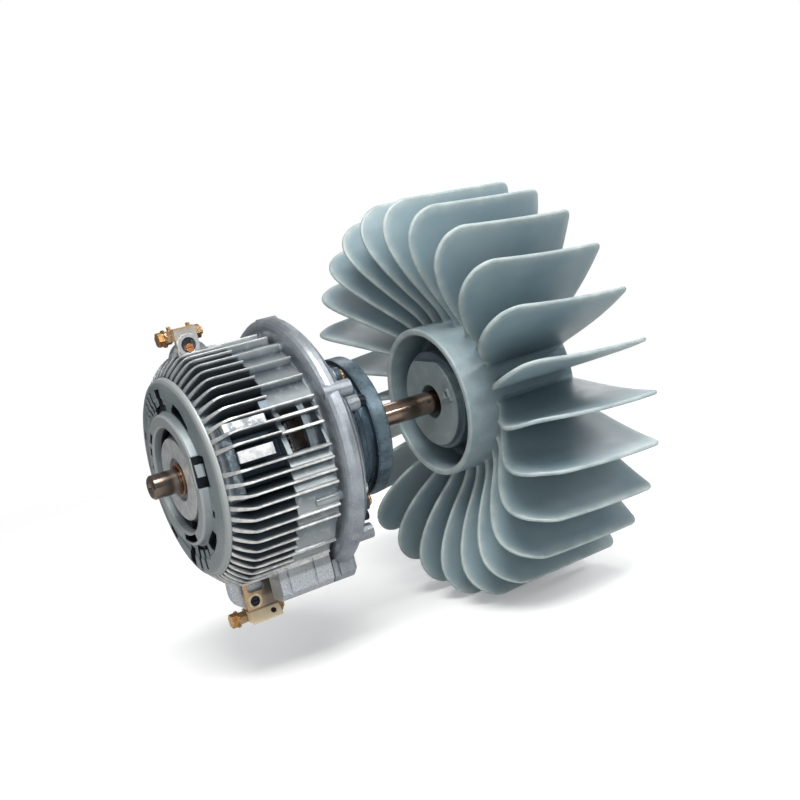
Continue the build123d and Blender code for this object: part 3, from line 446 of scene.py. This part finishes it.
def plated(name, a, b, c, rough=0.24, soft=0.0003, metallic=1.0):
    "plated sheet or fastener, with a faint play of tone and small scuffs"
    k = Mat(name)
    n1 = k.noise(170.0, 3.0, 0.6, dist=0.6)
    n2 = k.noise(520.0, 4.0, 0.65)
    n3 = k.noise(1700.0, 2.0, 0.6)
    col = k.mix(a, b, k.fit(n1, 0.32, 0.68, 0.0, 0.5))
    col = k.mix(col, c, k.fit(n2, 0.5, 0.72, 0.0, 0.25))
    k.set(Base_Color=col)
    k.b.inputs["Metallic"].default_value = metallic
    k.set(Roughness=k.math("ADD", k.fit(n2, 0.2, 0.8, rough - 0.05, rough + 0.06), k.fit(n3, 0.4, 0.7, 0.0, 0.03)))
    k.set(Normal=k.bump(k.math("ADD", n2, k.math("MULTIPLY", n3, 0.3)), 0.05, 0.0001, k.soften(soft, 8)))
    return k.m


def dull(name, a, b, rough=0.6, metallic=0.0, scale=300.0, soft=0.0003, bump=0.25):
    k = Mat(name)
    n1 = k.noise(scale, 4.0, 0.6)
    n2 = k.noise(scale * 5.0, 2.0, 0.6)
    k.set(Base_Color=k.mix(k.mix(a, b, k.fit(n1, 0.3, 0.7)), tuple(c * 0.5 for c in a), k.fit(n2, 0.55, 0.8, 0.0, 0.4)))
    k.b.inputs["Metallic"].default_value = metallic
    k.set(Roughness=k.fit(n1, 0.2, 0.8, rough - 0.08, rough + 0.08))
    k.set(Normal=k.bump(k.math("ADD", n1, k.math("MULTIPLY", n2, 0.3)), bump, 0.0001, k.soften(soft)))
    return k.m


M_FAN = fan_plastic()
M_CASE = casing_cast()
M_SHIELD = shield_cast()
M_CAP = cast_plain("cap_cast", srgb(112, 124, 132), srgb(140, 150, 155), rough=0.4, metallic=0.5, grain=0.2)
M_REAR = cast_plain("rear_cast", srgb(128, 135, 142), srgb(162, 168, 174), rough=0.36, metallic=0.7, grain=0.8,
                    grain_scale=800.0, pits=0.5, big=60.0)
M_HOUSING = housing_cast()
M_SHAFT = shaft_steel()
M_SNAP = snap_ring()
M_PLATE = bracket_plate()
M_EYE = bracket_small("eyelet_silver", srgb(226, 229, 232), srgb(206, 209, 212), srgb(214, 196, 168), srgb(176, 156, 130))
M_BSCREW = bracket_small("bracket_screw_copper", srgb(222, 160, 112), srgb(196, 130, 88), srgb(40, 44, 56), srgb(24, 26, 34))
M_STEEL = turned("bearing_steel", srgb(170, 172, 174), srgb(192, 194, 196), rough=0.22)
M_LAM = turned("lamination_steel", srgb(110, 112, 114), srgb(140, 142, 144), rough=0.45, pitch=2600.0)
M_COMM = turned("commutator_copper", srgb(112, 84, 68), srgb(140, 108, 88), rough=0.3)
M_GOLD = plated("gold_zinc", srgb(176, 146, 110), srgb(150, 122, 92), srgb(206, 180, 144), rough=0.2, metallic=0.8, soft=0.0002)
M_COPPER = plated("copper_plated", srgb(210, 160, 104), srgb(192, 138, 86), srgb(226, 190, 140), rough=0.24, metallic=0.85)
M_ZINC = plated("zinc", srgb(206, 208, 210), srgb(190, 193, 197), srgb(216, 215, 212), rough=0.2, metallic=0.85)
M_BLACK = plated("black_steel", srgb(40, 44, 50), srgb(58, 62, 68), srgb(30, 33, 38), rough=0.32)
M_RUBBER = dull("seal_rubber", (0.012, 0.013, 0.014), (0.02, 0.021, 0.023), rough=0.6)
M_FERRITE = dull("ferrite", (0.02, 0.021, 0.023), (0.035, 0.036, 0.04), rough=0.55)
M_PHENOLIC = dull("phenolic", (0.045, 0.026, 0.016), (0.07, 0.04, 0.024), rough=0.45)
M_CARBON = dull("carbon", (0.02, 0.02, 0.021), (0.035, 0.035, 0.036), rough=0.5)
M_WIRE = plated("winding_copper", srgb(120, 84, 62), srgb(98, 66, 48), srgb(150, 112, 86), rough=0.35)
M_HOLDER = plated("holder_tin", srgb(186, 188, 190), srgb(160, 164, 168), srgb(206, 206, 202), rough=0.25)
M_SPRING = plated("spring_steel", srgb(170, 174, 180), srgb(140, 146, 154), srgb(190, 192, 194), rough=0.25)
M_CAGE = dull("cage_polymer", (0.30, 0.26, 0.17), (0.36, 0.31, 0.2), rough=0.5)

FINISH = {
    "motor_casing": M_CASE, "front_shield": M_SHIELD, "front_bearing_cap": M_CAP, "front_shaft_seal": M_RUBBER,
    "rear_end_shield": M_REAR, "bearing_housing": M_HOUSING, "rear_shaft_seal": M_RUBBER, "wave_washer": M_SPRING,
    "shield_screws": M_ZINC, "shield_screw_washers": M_ZINC, "brush_ring_screws": M_BLACK, "housing_screws": M_COPPER,
    "top_bracket": M_PLATE, "bottom_bracket": M_PLATE, "tab_screw": tab_screw(), "bracket_eyelets": M_EYE,
    "bracket_screws": M_BSCREW, "bracket_bolts": M_COPPER, "bracket_nuts": M_GOLD, "bracket_washers": M_GOLD,
    "field_yoke": M_LAM, "field_magnets": M_FERRITE, "brush_ring": M_PHENOLIC, "brush_holders": M_HOLDER,
    "carbon_brushes": M_CARBON, "brush_springs": M_SPRING, "brush_holder_screws": M_ZINC,
    "front_bearing_outer_race": M_STEEL, "front_bearing_inner_race": M_STEEL, "front_bearing_balls": M_STEEL,
    "front_bearing_cage": M_CAGE, "rear_bearing_outer_race": M_STEEL, "rear_bearing_inner_race": M_STEEL,
    "rear_bearing_balls": M_STEEL, "rear_bearing_cage": M_CAGE, "shaft": M_SHAFT, "front_snap_ring": M_SNAP,
    "armature_core": M_LAM, "armature_windings": M_WIRE, "commutator": M_COMM, "impeller_hub": M_FAN,
    "impeller_boss": M_FAN, "impeller_blades": M_FAN, "hub_bush": M_STEEL, "fan_key": M_STEEL, "fan_end_washer": M_ZINC, "fan_lock_nut": M_ZINC,
}
for name in nodes:
    paint(name, FINISH[name])


# ------------------------------------------------------------------ mesh helper
def mesh_object(name, verts, faces, material, sharp=38.0, attrs=None):
    me = bpy.data.meshes.new(name)
    me.from_pydata([tuple(v) for v in verts], [], [tuple(f) for f in faces])
    me.update()
    for key, values in (attrs or {}).items():
        a = me.attributes.new(key, "FLOAT", "POINT")
        a.data.foreach_set("value", np.asarray(values, np.float32))
    me.polygons.foreach_set("use_smooth", [True] * len(me.polygons))
    me.set_sharp_from_angle(angle=math.radians(sharp))
    me.materials.append(material)
    o = bpy.data.objects.new(name, me)
    scene.collection.objects.link(o)
    return o


def cubic(pts, d0, d1, n):
    "clamped cubic spline through the points, n samples"
    p = np.array(pts, float)
    t = np.r_[0.0, np.cumsum(np.hypot(*np.diff(p, axis=0).T))]
    h = np.diff(t)
    m = len(p)
    a = np.zeros((m, m))
    b = np.zeros((m, 2))
    a[0, 0] = a[-1, -1] = 1.0
    b[0], b[-1] = d0, d1
    for i in range(1, m - 1):
        a[i, i - 1], a[i, i], a[i, i + 1] = 1 / h[i - 1], 2 * (1 / h[i - 1] + 1 / h[i]), 1 / h[i]
        b[i] = 3 * ((p[i] - p[i - 1]) / h[i - 1] ** 2 + (p[i + 1] - p[i]) / h[i] ** 2)
    d = np.linalg.solve(a, b)
    s = np.linspace(0, t[-1], n)
    k = np.clip(np.searchsorted(t, s, side="right") - 1, 0, m - 2)
    u = (s - t[k]) / h[k]
    h00, h10 = 2 * u**3 - 3 * u**2 + 1, u**3 - 2 * u**2 + u
    h01, h11 = -2 * u**3 + 3 * u**2, u**3 - u**2
    return (h00[:, None] * p[k] + (h10 * h[k])[:, None] * d[k] + h01[:, None] * p[k + 1]
            + (h11 * h[k])[:, None] * d[k + 1])


def rounded(pts, closed=True, n=5):
    "polygon of (x, r, fillet radius) with each corner rounded"
    out = []
    m = len(pts)
    for i in range(m):
        p = np.array(pts[i][:2], float)
        f = pts[i][2] if len(pts[i]) > 2 else 0.0
        if f <= 0 or (not closed and i in (0, m - 1)):
            out.append(p)
            continue
        a = np.array(pts[i - 1][:2], float) - p
        b = np.array(pts[(i + 1) % m][:2], float) - p
        la, lb = np.linalg.norm(a), np.linalg.norm(b)
        a, b = a / la, b / lb
        half = math.acos(max(-1.0, min(1.0, float(a @ b)))) / 2
        if half > math.pi / 2 - 0.02:
            out.append(p)
            continue
        d = min(f / math.tan(half), la * 0.49, lb * 0.49)
        rr = d * math.tan(half)
        c = p + (a + b) / np.linalg.norm(a + b) * (rr / math.sin(half))
        s, e = p + a * d, p + b * d
        t0, t1 = math.atan2(*(s - c)[::-1]), math.atan2(*(e - c)[::-1])
        dt = (t1 - t0 + math.pi) % (2 * math.pi) - math.pi
        for j in range(n + 1):
            t = t0 + dt * j / n
            out.append(c + rr * np.array([math.cos(t), math.sin(t)]))
    return np.array(out)


def lathe(profile, seg=224):
    "closed (x, r) profile turned about the shaft: vertices in metres and faces"
    p = np.asarray(profile, float)
    m = len(p)
    a = np.linspace(0, 2 * math.pi, seg, endpoint=False)
    v = np.zeros((seg, m, 3))
    v[:, :, 0] = (p[:, 0] - X_REF)[None]
    v[:, :, 1] = p[None, :, 1] * np.cos(a)[:, None]
    v[:, :, 2] = p[None, :, 1] * np.sin(a)[:, None]
    idx = np.arange(seg * m).reshape(seg, m)
    area = 0.5 * np.sum(p[:, 0] * np.roll(p[:, 1], -1) - np.roll(p[:, 0], -1) * p[:, 1])
    faces = []
    for i in range(seg):
        j = (i + 1) % seg
        for k in range(m):
            l = (k + 1) % m
            f = (idx[i, k], idx[i, l], idx[j, l], idx[j, k])
            faces.append(f if area < 0 else f[::-1])
    return v.reshape(-1, 3) / 1000.0, faces


# --------------------------------------------------------------------- impeller
N_BLADES, BLADE_PHASE = 25, 85.5
HUB_RO, HUB_RI, HUB_X0, HUB_X1 = 47.5, 43.2, 166.0, 246.0
SWEEP, BOW = 3.0, 2.8
HALF_T = 1.2
ROOT_FILLET = 2.4
RIM = 1.2


def lead(x, r):
    t = np.clip((245.0 - x) / 85.0, 0.0, 1.0)
    u = np.clip((r - 46.0) / 81.0, 0.0, 1.0)
    s = u * u * (3 - 2 * u)
    return -SWEEP * t * t * s + BOW * np.sin(np.pi * u) * (0.45 + 0.55 * t)


def half_thickness(r):
    g = np.clip(np.asarray(r, float) - HUB_RO, 0.0, ROOT_FILLET)
    extra = ROOT_FILLET - np.sqrt(np.maximum(0.0, ROOT_FILLET**2 - (ROOT_FILLET - g) ** 2))
    return HALF_T + extra


def on_blade(x, r, off):
    a = np.radians(BLADE_PHASE + lead(x, r)) + off / r
    return np.stack([x - X_REF, r * np.cos(a), r * np.sin(a)], -1)


def inset(poly, d):
    t = np.gradient(poly, axis=0)
    t /= np.linalg.norm(t, axis=1)[:, None]
    n = np.stack([-t[:, 1], t[:, 0]], -1)      # outward for a line that runs front, tip, rear
    return poly - n * d, n


def one_blade():
    front = cubic([(185.4, 47.0), (184.6, 50.0), (182.2, 55.0), (176.4, 63.0), (168.0, 74.0), (159.4, 87.0),
                   (153.8, 99.0), (152.4, 109.0), (156.2, 119.0), (163.8, 125.3), (173.0, 127.75)],
                  (-0.12, 1.0), (1.0, -0.025), 260)
    xr, rr, rc = HUB_X1 - 0.4, 126.0, 4.8
    tip = np.array([(x, 127.75 + (126.0 - 127.75) * (x - 173.0) / (xr - 173.0)) for x in np.linspace(174.0, xr - rc, 90)])
    ang = np.radians(np.linspace(88.5, 0.0, 16))
    arc = np.stack([xr - rc + rc * np.cos(ang), rr - rc + rc * np.sin(ang)], -1)
    rear = np.array([(xr, r) for r in np.linspace(rr - rc - 0.5, 46.9, 90)])
    outline = np.concatenate([front, tip, arc, rear])
    ins, _ = inset(outline, RIM)
    i_s = int(np.argmin(np.abs(outline[:, 1] - 124.6) + (outline[:, 0] > 180) * 1e3))
    i_c = 260 + 90 + 8
    lft, top, rgt = ins[: i_s + 1], ins[i_s : i_c + 1], ins[i_c:][::-1]
    # rows: close together in the root fillet and beside the rim
    r_rows = np.r_[46.9, 47.5, 47.56, 47.75, 48.05, 48.5, 49.1, 49.8, 50.6, 51.5, 53.0, 55.5, 59.0, 63.0, 68.0, 73.5, 79.0,
                   84.5, 90.0, 95.5, 101.0, 106.0, 110.5, 114.5, 117.6, 120.0, 121.8, 123.2]
    r0, r1 = 46.9, ins[i_s, 1]
    v = np.r_[(r_rows - r0) / (r1 - r0), 1.0]
    v = v[v <= 1.0]
    u = np.r_[0, 0.008, 0.02, 0.036, 0.056, 0.08, np.linspace(0.115, 0.885, 20), 0.92, 0.944, 0.964, 0.98, 0.992, 1.0]

    def by_r(c, r):
        o = np.argsort(c[:, 1], kind="stable")
        return np.stack([np.interp(r, c[o, 1], c[o, 0]), r], -1)

    lrow = by_r(lft, r0 + v * (lft[-1, 1] - r0))
    rrow = by_r(rgt, r0 + v * (rgt[-1, 1] - r0))
    bot = np.stack([lrow[0, 0] + u * (rrow[0, 0] - lrow[0, 0]), np.full(len(u), r0)], -1)
    tx = top[0, 0] + u * (top[-1, 0] - top[0, 0])
    tpo = np.stack([tx, np.interp(tx, top[:, 0], top[:, 1])], -1)
    tpo[0], tpo[-1] = lrow[-1], rrow[-1]
    U, V = np.meshgrid(u, v)
    g = ((1 - V)[..., None] * bot[None] + V[..., None] * tpo[None] + (1 - U)[..., None] * lrow[:, None]
         + U[..., None] * rrow[:, None]
         - ((1 - U) * (1 - V))[..., None] * bot[0] - (U * (1 - V))[..., None] * bot[-1]
         - ((1 - U) * V)[..., None] * tpo[0] - (U * V)[..., None] * tpo[-1])
    nv, nu = g.shape[:2]
    x, r = g[..., 0], g[..., 1]
    fade = np.clip((x - x[:, :1]) / 7.0, 0.0, 1.0)
    h = HALF_T + (half_thickness(r) - HALF_T) * (0.2 + 0.8 * fade * fade * (3 - 2 * fade))
    a_side = on_blade(x, r, h)
    b_side = on_blade(x, r, -h)
    # the rim, half round, along the front edge, the tip and the rear edge
    chain = [(i, 0) for i in range(nv)] + [(nv - 1, j) for j in range(1, nu)] + [(i, nu - 1) for i in range(nv - 2, -1, -1)]
    q = np.array([g[c] for c in chain])
    t = np.gradient(q, axis=0)
    t[0], t[-1] = q[1] - q[0], q[-1] - q[-2]
    t /= np.linalg.norm(t, axis=1)[:, None]
    n = np.stack([-t[:, 1], t[:, 0]], -1)
    K = 8
    hq = np.array([h[c] for c in chain])
    rim_pts = []
    for k in range(1, K):
        th = math.pi * k / K
        p = q + n * RIM * math.sin(th)
        rim_pts.append(on_blade(p[:, 0], p[:, 1], hq * math.cos(th)))
    # distance of each face point from the outline, for the pale band beside the rim, a painted glow of light through
    # the thin plastic
    seg = q[::1]
    flat = g.reshape(-1, 2)
    dist = np.sqrt(((flat[:, None] - seg[None]) ** 2).sum(-1)).min(1)
    band = np.clip(1.0 - dist / 5.5, 0.0, 1.0)
    verts = np.concatenate([a_side.reshape(-1, 3), b_side.reshape(-1, 3)] + rim_pts)
    rim = np.concatenate([band, band] + [np.ones(len(chain))] * (K - 1))
    ia = np.arange(nv * nu).reshape(nv, nu)
    ib = ia + nv * nu
    rings = [[int(ia[c]) for c in chain]]
    base = 2 * nv * nu
    for k in range(K - 1):
        rings.append(list(range(base + k * len(chain), base + (k + 1) * len(chain))))
    rings.append([int(ib[c]) for c in chain])
    faces = []
    for i in range(nv - 1):
        for j in range(nu - 1):
            faces.append((ia[i, j], ia[i + 1, j], ia[i + 1, j + 1], ia[i, j + 1]))
            faces.append((ib[i, j], ib[i, j + 1], ib[i + 1, j + 1], ib[i + 1, j]))
    for ra, rb in zip(rings, rings[1:]):
        for i in range(len(chain) - 1):
            faces.append((ra[i], rb[i], rb[i + 1], ra[i + 1]))
    # closed inside the hub's wall
    for j in range(nu - 1):
        faces.append((ia[0, j], ia[0, j + 1], ib[0, j + 1], ib[0, j]))
    faces.append(tuple([rg[0] for rg in rings][::-1]))
    faces.append(tuple([rg[-1] for rg in rings]))
    return verts, faces, rim


FLAT_A, FLAT_R = 94.0, 25.8      # where the boss's edge is flat
CLIP_A, CLIP_R = 167.0, 20.3     # small square socket on the boss's face


def clip():
    "a raised square frame with a sunk middle and a tongue, closed, on the boss's face"
    c, s = math.cos(math.radians(CLIP_A)), math.sin(math.radians(CLIP_A))

    def place(x, u, v):
        "u runs outwards, v around"
        rr = CLIP_R + u
        return ((x - X_REF) / 1000, (c * rr - s * v) / 1000, (s * rr + c * v) / 1000)

    def loop(x, hu, hv, cr, du=0.0, n=4):
        out = []
        for qu, qv, a0 in ((1, 1, 0), (-1, 1, 90), (-1, -1, 180), (1, -1, 270)):
            for i in range(n + 1):
                t = math.radians(a0 + 90 * i / n)
                out.append(place(x, du + qu * (hu - cr) + cr * math.cos(t), qv * (hv - cr) + cr * math.sin(t)))
        return out

    rings = [loop(169.6, 4.9, 2.9, 0.5), loop(168.0, 4.8, 2.8, 0.5), loop(167.6, 4.5, 2.5, 0.4),
             loop(167.6, 1.95, 1.95, 0.3, 1.8), loop(167.9, 1.75, 1.75, 0.3, 1.8), loop(168.9, 1.65, 1.65, 0.3, 1.8)]
    n = len(rings[0])
    vs = [p for rg in rings for p in rg]
    fs = []
    for k in range(len(rings) - 1):
        for i in range(n):
            j = (i + 1) % n
            fs.append((k * n + i, k * n + j, (k + 1) * n + j, (k + 1) * n + i))
    fs.append(tuple(range(n))[::-1])
    fs.append(tuple((len(rings) - 1) * n + i for i in range(n)))
    # the tongue beside the socket
    base = len(vs)
    tongue = [(169.6, -3.3, 2.7), (169.6, 4.7, 2.7), (169.6, 4.5, 5.2), (169.6, -2.9, 5.2),
              (168.1, -2.9, 2.8), (168.1, 4.4, 2.8), (168.7, 4.2, 4.9), (168.7, -2.5, 4.9)]
    vs += [place(*p) for p in tongue]
    for f in ((3, 2, 1, 0), (4, 5, 6, 7), (0, 1, 5, 4), (1, 2, 6, 5), (2, 3, 7, 6), (3, 0, 4, 7)):
        fs.append(tuple(base + i for i in f))
    return np.array(vs), fs, np.full(len(vs), 0.5)


def impeller():
    bv, bf, br = one_blade()
    verts, faces, rim = [], [], []
    off = 0
    for k in range(N_BLADES):
        a = math.radians(360.0 / N_BLADES * k)
        c, s = math.cos(a), math.sin(a)
        v = bv.copy()
        v[:, 1], v[:, 2] = bv[:, 1] * c - bv[:, 2] * s, bv[:, 1] * s + bv[:, 2] * c
        verts.append(v / 1000.0)
        faces += [tuple(int(i) + off for i in f) for f in bf]
        rim.append(br)
        off += len(bv)
    prof = rounded([(166.0, 43.2, 1.5), (166.0, 47.5, 1.4), (246.0, 47.5, 0.8), (246.0, 43.8, 0.6), (198.0, 43.2, 3.0),
                    (196.0, 40.0, 1.0), (195.6, 33.0, 1.0), (204.0, 31.0, 0.8), (204.0, 10.4), (170.0, 10.4, 0.0),
                    (169.3, 11.1, 0.0), (169.3, 25.0), (169.3, 28.8, 0.9), (172.7, 28.9, 0.5), (172.8, 31.5, 0.9), (190.6, 32.3, 2.0),
                    (191.4, 39.6, 0.6), (190.0, 43.2, 3.0)])
    hv, hf = lathe(prof)
    verts.append(hv)
    faces += [tuple(int(i) + off for i in f) for f in hf]
    hx = hv[:, 0] * 1000 + X_REF
    hr = np.hypot(hv[:, 1], hv[:, 2]) * 1000
    ring = np.clip(1.0 - (hx - 166.0) / 4.5, 0, 1) * (hr > 42.0)
    boss = 0.62 * np.clip(1.0 - (hx - 169.3) / 1.2, 0, 1) * (hr < 30)
    rim.append(np.maximum(ring, boss))
    # a flat on the boss's edge
    ny, nz = math.cos(math.radians(FLAT_A)), math.sin(math.radians(FLAT_A))
    over = (hv[:, 1] * ny + hv[:, 2] * nz) * 1000 - FLAT_R
    cut = (hx < 172.75) & (hr > 20.0) & (hr < 29.0) & (over > 0)
    hv[cut, 1] -= over[cut] * ny / 1000
    hv[cut, 2] -= over[cut] * nz / 1000
    verts[-1] = hv
    cv, cf, cr = clip()
    faces += [tuple(int(i) + off + len(hv) for i in f) for f in cf]
    verts.append(cv)
    rim.append(cr)
    o = mesh_object("impeller", np.concatenate(verts), faces, M_FAN, 40.0, {"rim": np.concatenate(rim)})
    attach(o, "rotor")
    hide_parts("impeller_hub", "impeller_boss", "impeller_blades")
    return o


impeller()

# ----------------------------------------------------------------- floor, light
FLOOR_Z = -0.1281
fm = Mat("studio_floor")
fn = fm.noise(3.0, 3.0, 0.5)
fm.set(Base_Color=fm.mix((0.88, 0.88, 0.88), (0.92, 0.92, 0.915), fm.fit(fn, 0.3, 0.7)))
fm.b.inputs["Roughness"].default_value = 0.8
fm.b.inputs["Specular IOR Level"].default_value = 0.1
fm.b.inputs["Emission Color"].default_value = (1.0, 1.0, 1.0, 1.0)
fm.b.inputs["Emission Strength"].default_value = 0.22
# the sheet fades out well away from the object, so no horizon shows
clear = fm.nt.nodes.new("ShaderNodeBsdfTransparent")
fade = fm.nt.nodes.new("ShaderNodeMixShader")
fm.link(fm.fit(fm.radius_xy(), 420.0, 1100.0), fade.inputs[0])
dim = fm.nt.nodes.new("ShaderNodeBsdfDiffuse")
dim.inputs["Color"].default_value = (0.58, 0.58, 0.58, 1.0)
seen = fm.nt.nodes.new("ShaderNodeLightPath")
pick = fm.nt.nodes.new("ShaderNodeMixShader")
fm.link(seen.outputs["Is Camera Ray"], pick.inputs[0])
fm.link(dim.outputs[0], pick.inputs[1])
fm.link(fm.b.outputs[0], pick.inputs[2])
fm.link(pick.outputs[0], fade.inputs[1])
fm.link(clear.outputs[0], fade.inputs[2])
fm.link(fade.outputs[0], fm.out.inputs[0])
bm = bmesh.new()
bmesh.ops.create_grid(bm, x_segments=8, y_segments=8, size=14.0)
me = bpy.data.meshes.new("studio_floor")
bm.to_mesh(me)
bm.free()
me.materials.append(fm.m)
floor = bpy.data.objects.new("studio_floor", me)
floor.location = (0.0, 0.0, FLOOR_Z)
scene.collection.objects.link(floor)


def area(name, loc, target, size, power, color=(1, 1, 1), size_y=None):
    d = bpy.data.lights.new(name, "AREA")
    d.energy = power
    d.color = color
    d.size = size
    if size_y:
        d.shape = "RECTANGLE"
        d.size_y = size_y
    o = bpy.data.objects.new(name, d)
    o.location = loc
    o.rotation_mode = "QUATERNION"
    o.rotation_quaternion = (Vector(target) - Vector(loc)).to_track_quat("-Z", "Y")
    scene.collection.objects.link(o)
    return o


area("key_top", (-0.12, -0.66, 1.05), (0.0, 0.0, 0.0), 0.9, 19.8, (1.0, 0.99, 0.97), 0.6)
area("fill_left", (-0.5, -1.2, 0.12), (0.0, 0.0, 0.0), 0.8, 6.0, (0.98, 0.99, 1.0))
area("back_right", (0.9, 0.75, 0.75), (0.05, 0.0, 0.0), 0.7, 5.0, (1.0, 1.0, 1.0))
area("strip", (0.67, -1.05, 0.62), (-0.02, 0.0, 0.0), 0.5, 3.0, (1.0, 1.0, 1.0), 0.1)

world = bpy.data.worlds.new("studio")
scene.world = world
world.use_nodes = True
wn = world.node_tree
wn.nodes.clear()
w_out = wn.nodes.new("ShaderNodeOutputWorld")
w_tc = wn.nodes.new("ShaderNodeTexCoord")
w_sep = wn.nodes.new("ShaderNodeSeparateXYZ")
w_ramp = wn.nodes.new("ShaderNodeValToRGB")
w_map = wn.nodes.new("ShaderNodeMapRange")
w_bg = wn.nodes.new("ShaderNodeBackground")
w_cam = wn.nodes.new("ShaderNodeBackground")
w_lp = wn.nodes.new("ShaderNodeLightPath")
w_mix = wn.nodes.new("ShaderNodeMixShader")
wn.links.new(w_tc.outputs["Generated"], w_sep.inputs[0])
w_map.inputs["From Min"].default_value = -1.0
wn.links.new(w_sep.outputs[2], w_map.inputs["Value"])
wn.links.new(w_map.outputs["Result"], w_ramp.inputs["Fac"])
e = w_ramp.color_ramp.elements
e[0].position, e[0].color = 0.40, (0.30, 0.31, 0.32, 1)
e[1].position, e[1].color = 0.95, (0.95, 0.96, 0.98, 1)
mid_stop = w_ramp.color_ramp.elements.new(0.55)
mid_stop.color = (0.42, 0.44, 0.46, 1)
wn.links.new(w_ramp.outputs[0], w_bg.inputs[0])
w_bg.inputs[1].default_value = 0.45
w_cam.inputs[0].default_value = (1, 1, 1, 1)
w_cam.inputs[1].default_value = 1.0
wn.links.new(w_lp.outputs["Is Camera Ray"], w_mix.inputs[0])
wn.links.new(w_bg.outputs[0], w_mix.inputs[1])
wn.links.new(w_cam.outputs[0], w_mix.inputs[2])
wn.links.new(w_mix.outputs[0], w_out.inputs[0])

# ----------------------------------------------------------------------- camera
cam_data = bpy.data.cameras.new("camera")
cam_data.lens = 54.0
cam_data.sensor_width = 36.0
cam_data.clip_start = 0.01
cam = bpy.data.objects.new("camera", cam_data)
right = Vector((0.84131815, -0.49248784, -0.22279924))
up = Vector((0.25599712, 0.0, 0.96667754))
fwd = Vector((0.47607694, 0.87031932, -0.12607547))
rot = Matrix((right, up, -fwd)).transposed()
cam.matrix_world = Matrix.Translation(Vector((-0.31016, -0.64708, 0.10048))) @ rot.to_4x4()
scene.collection.objects.link(cam)
scene.camera = cam
scene.view_settings.view_transform = "Standard"
scene.view_settings.look = "None"
scene.cycles.use_denoising = True

bpy.context.view_layer.update()
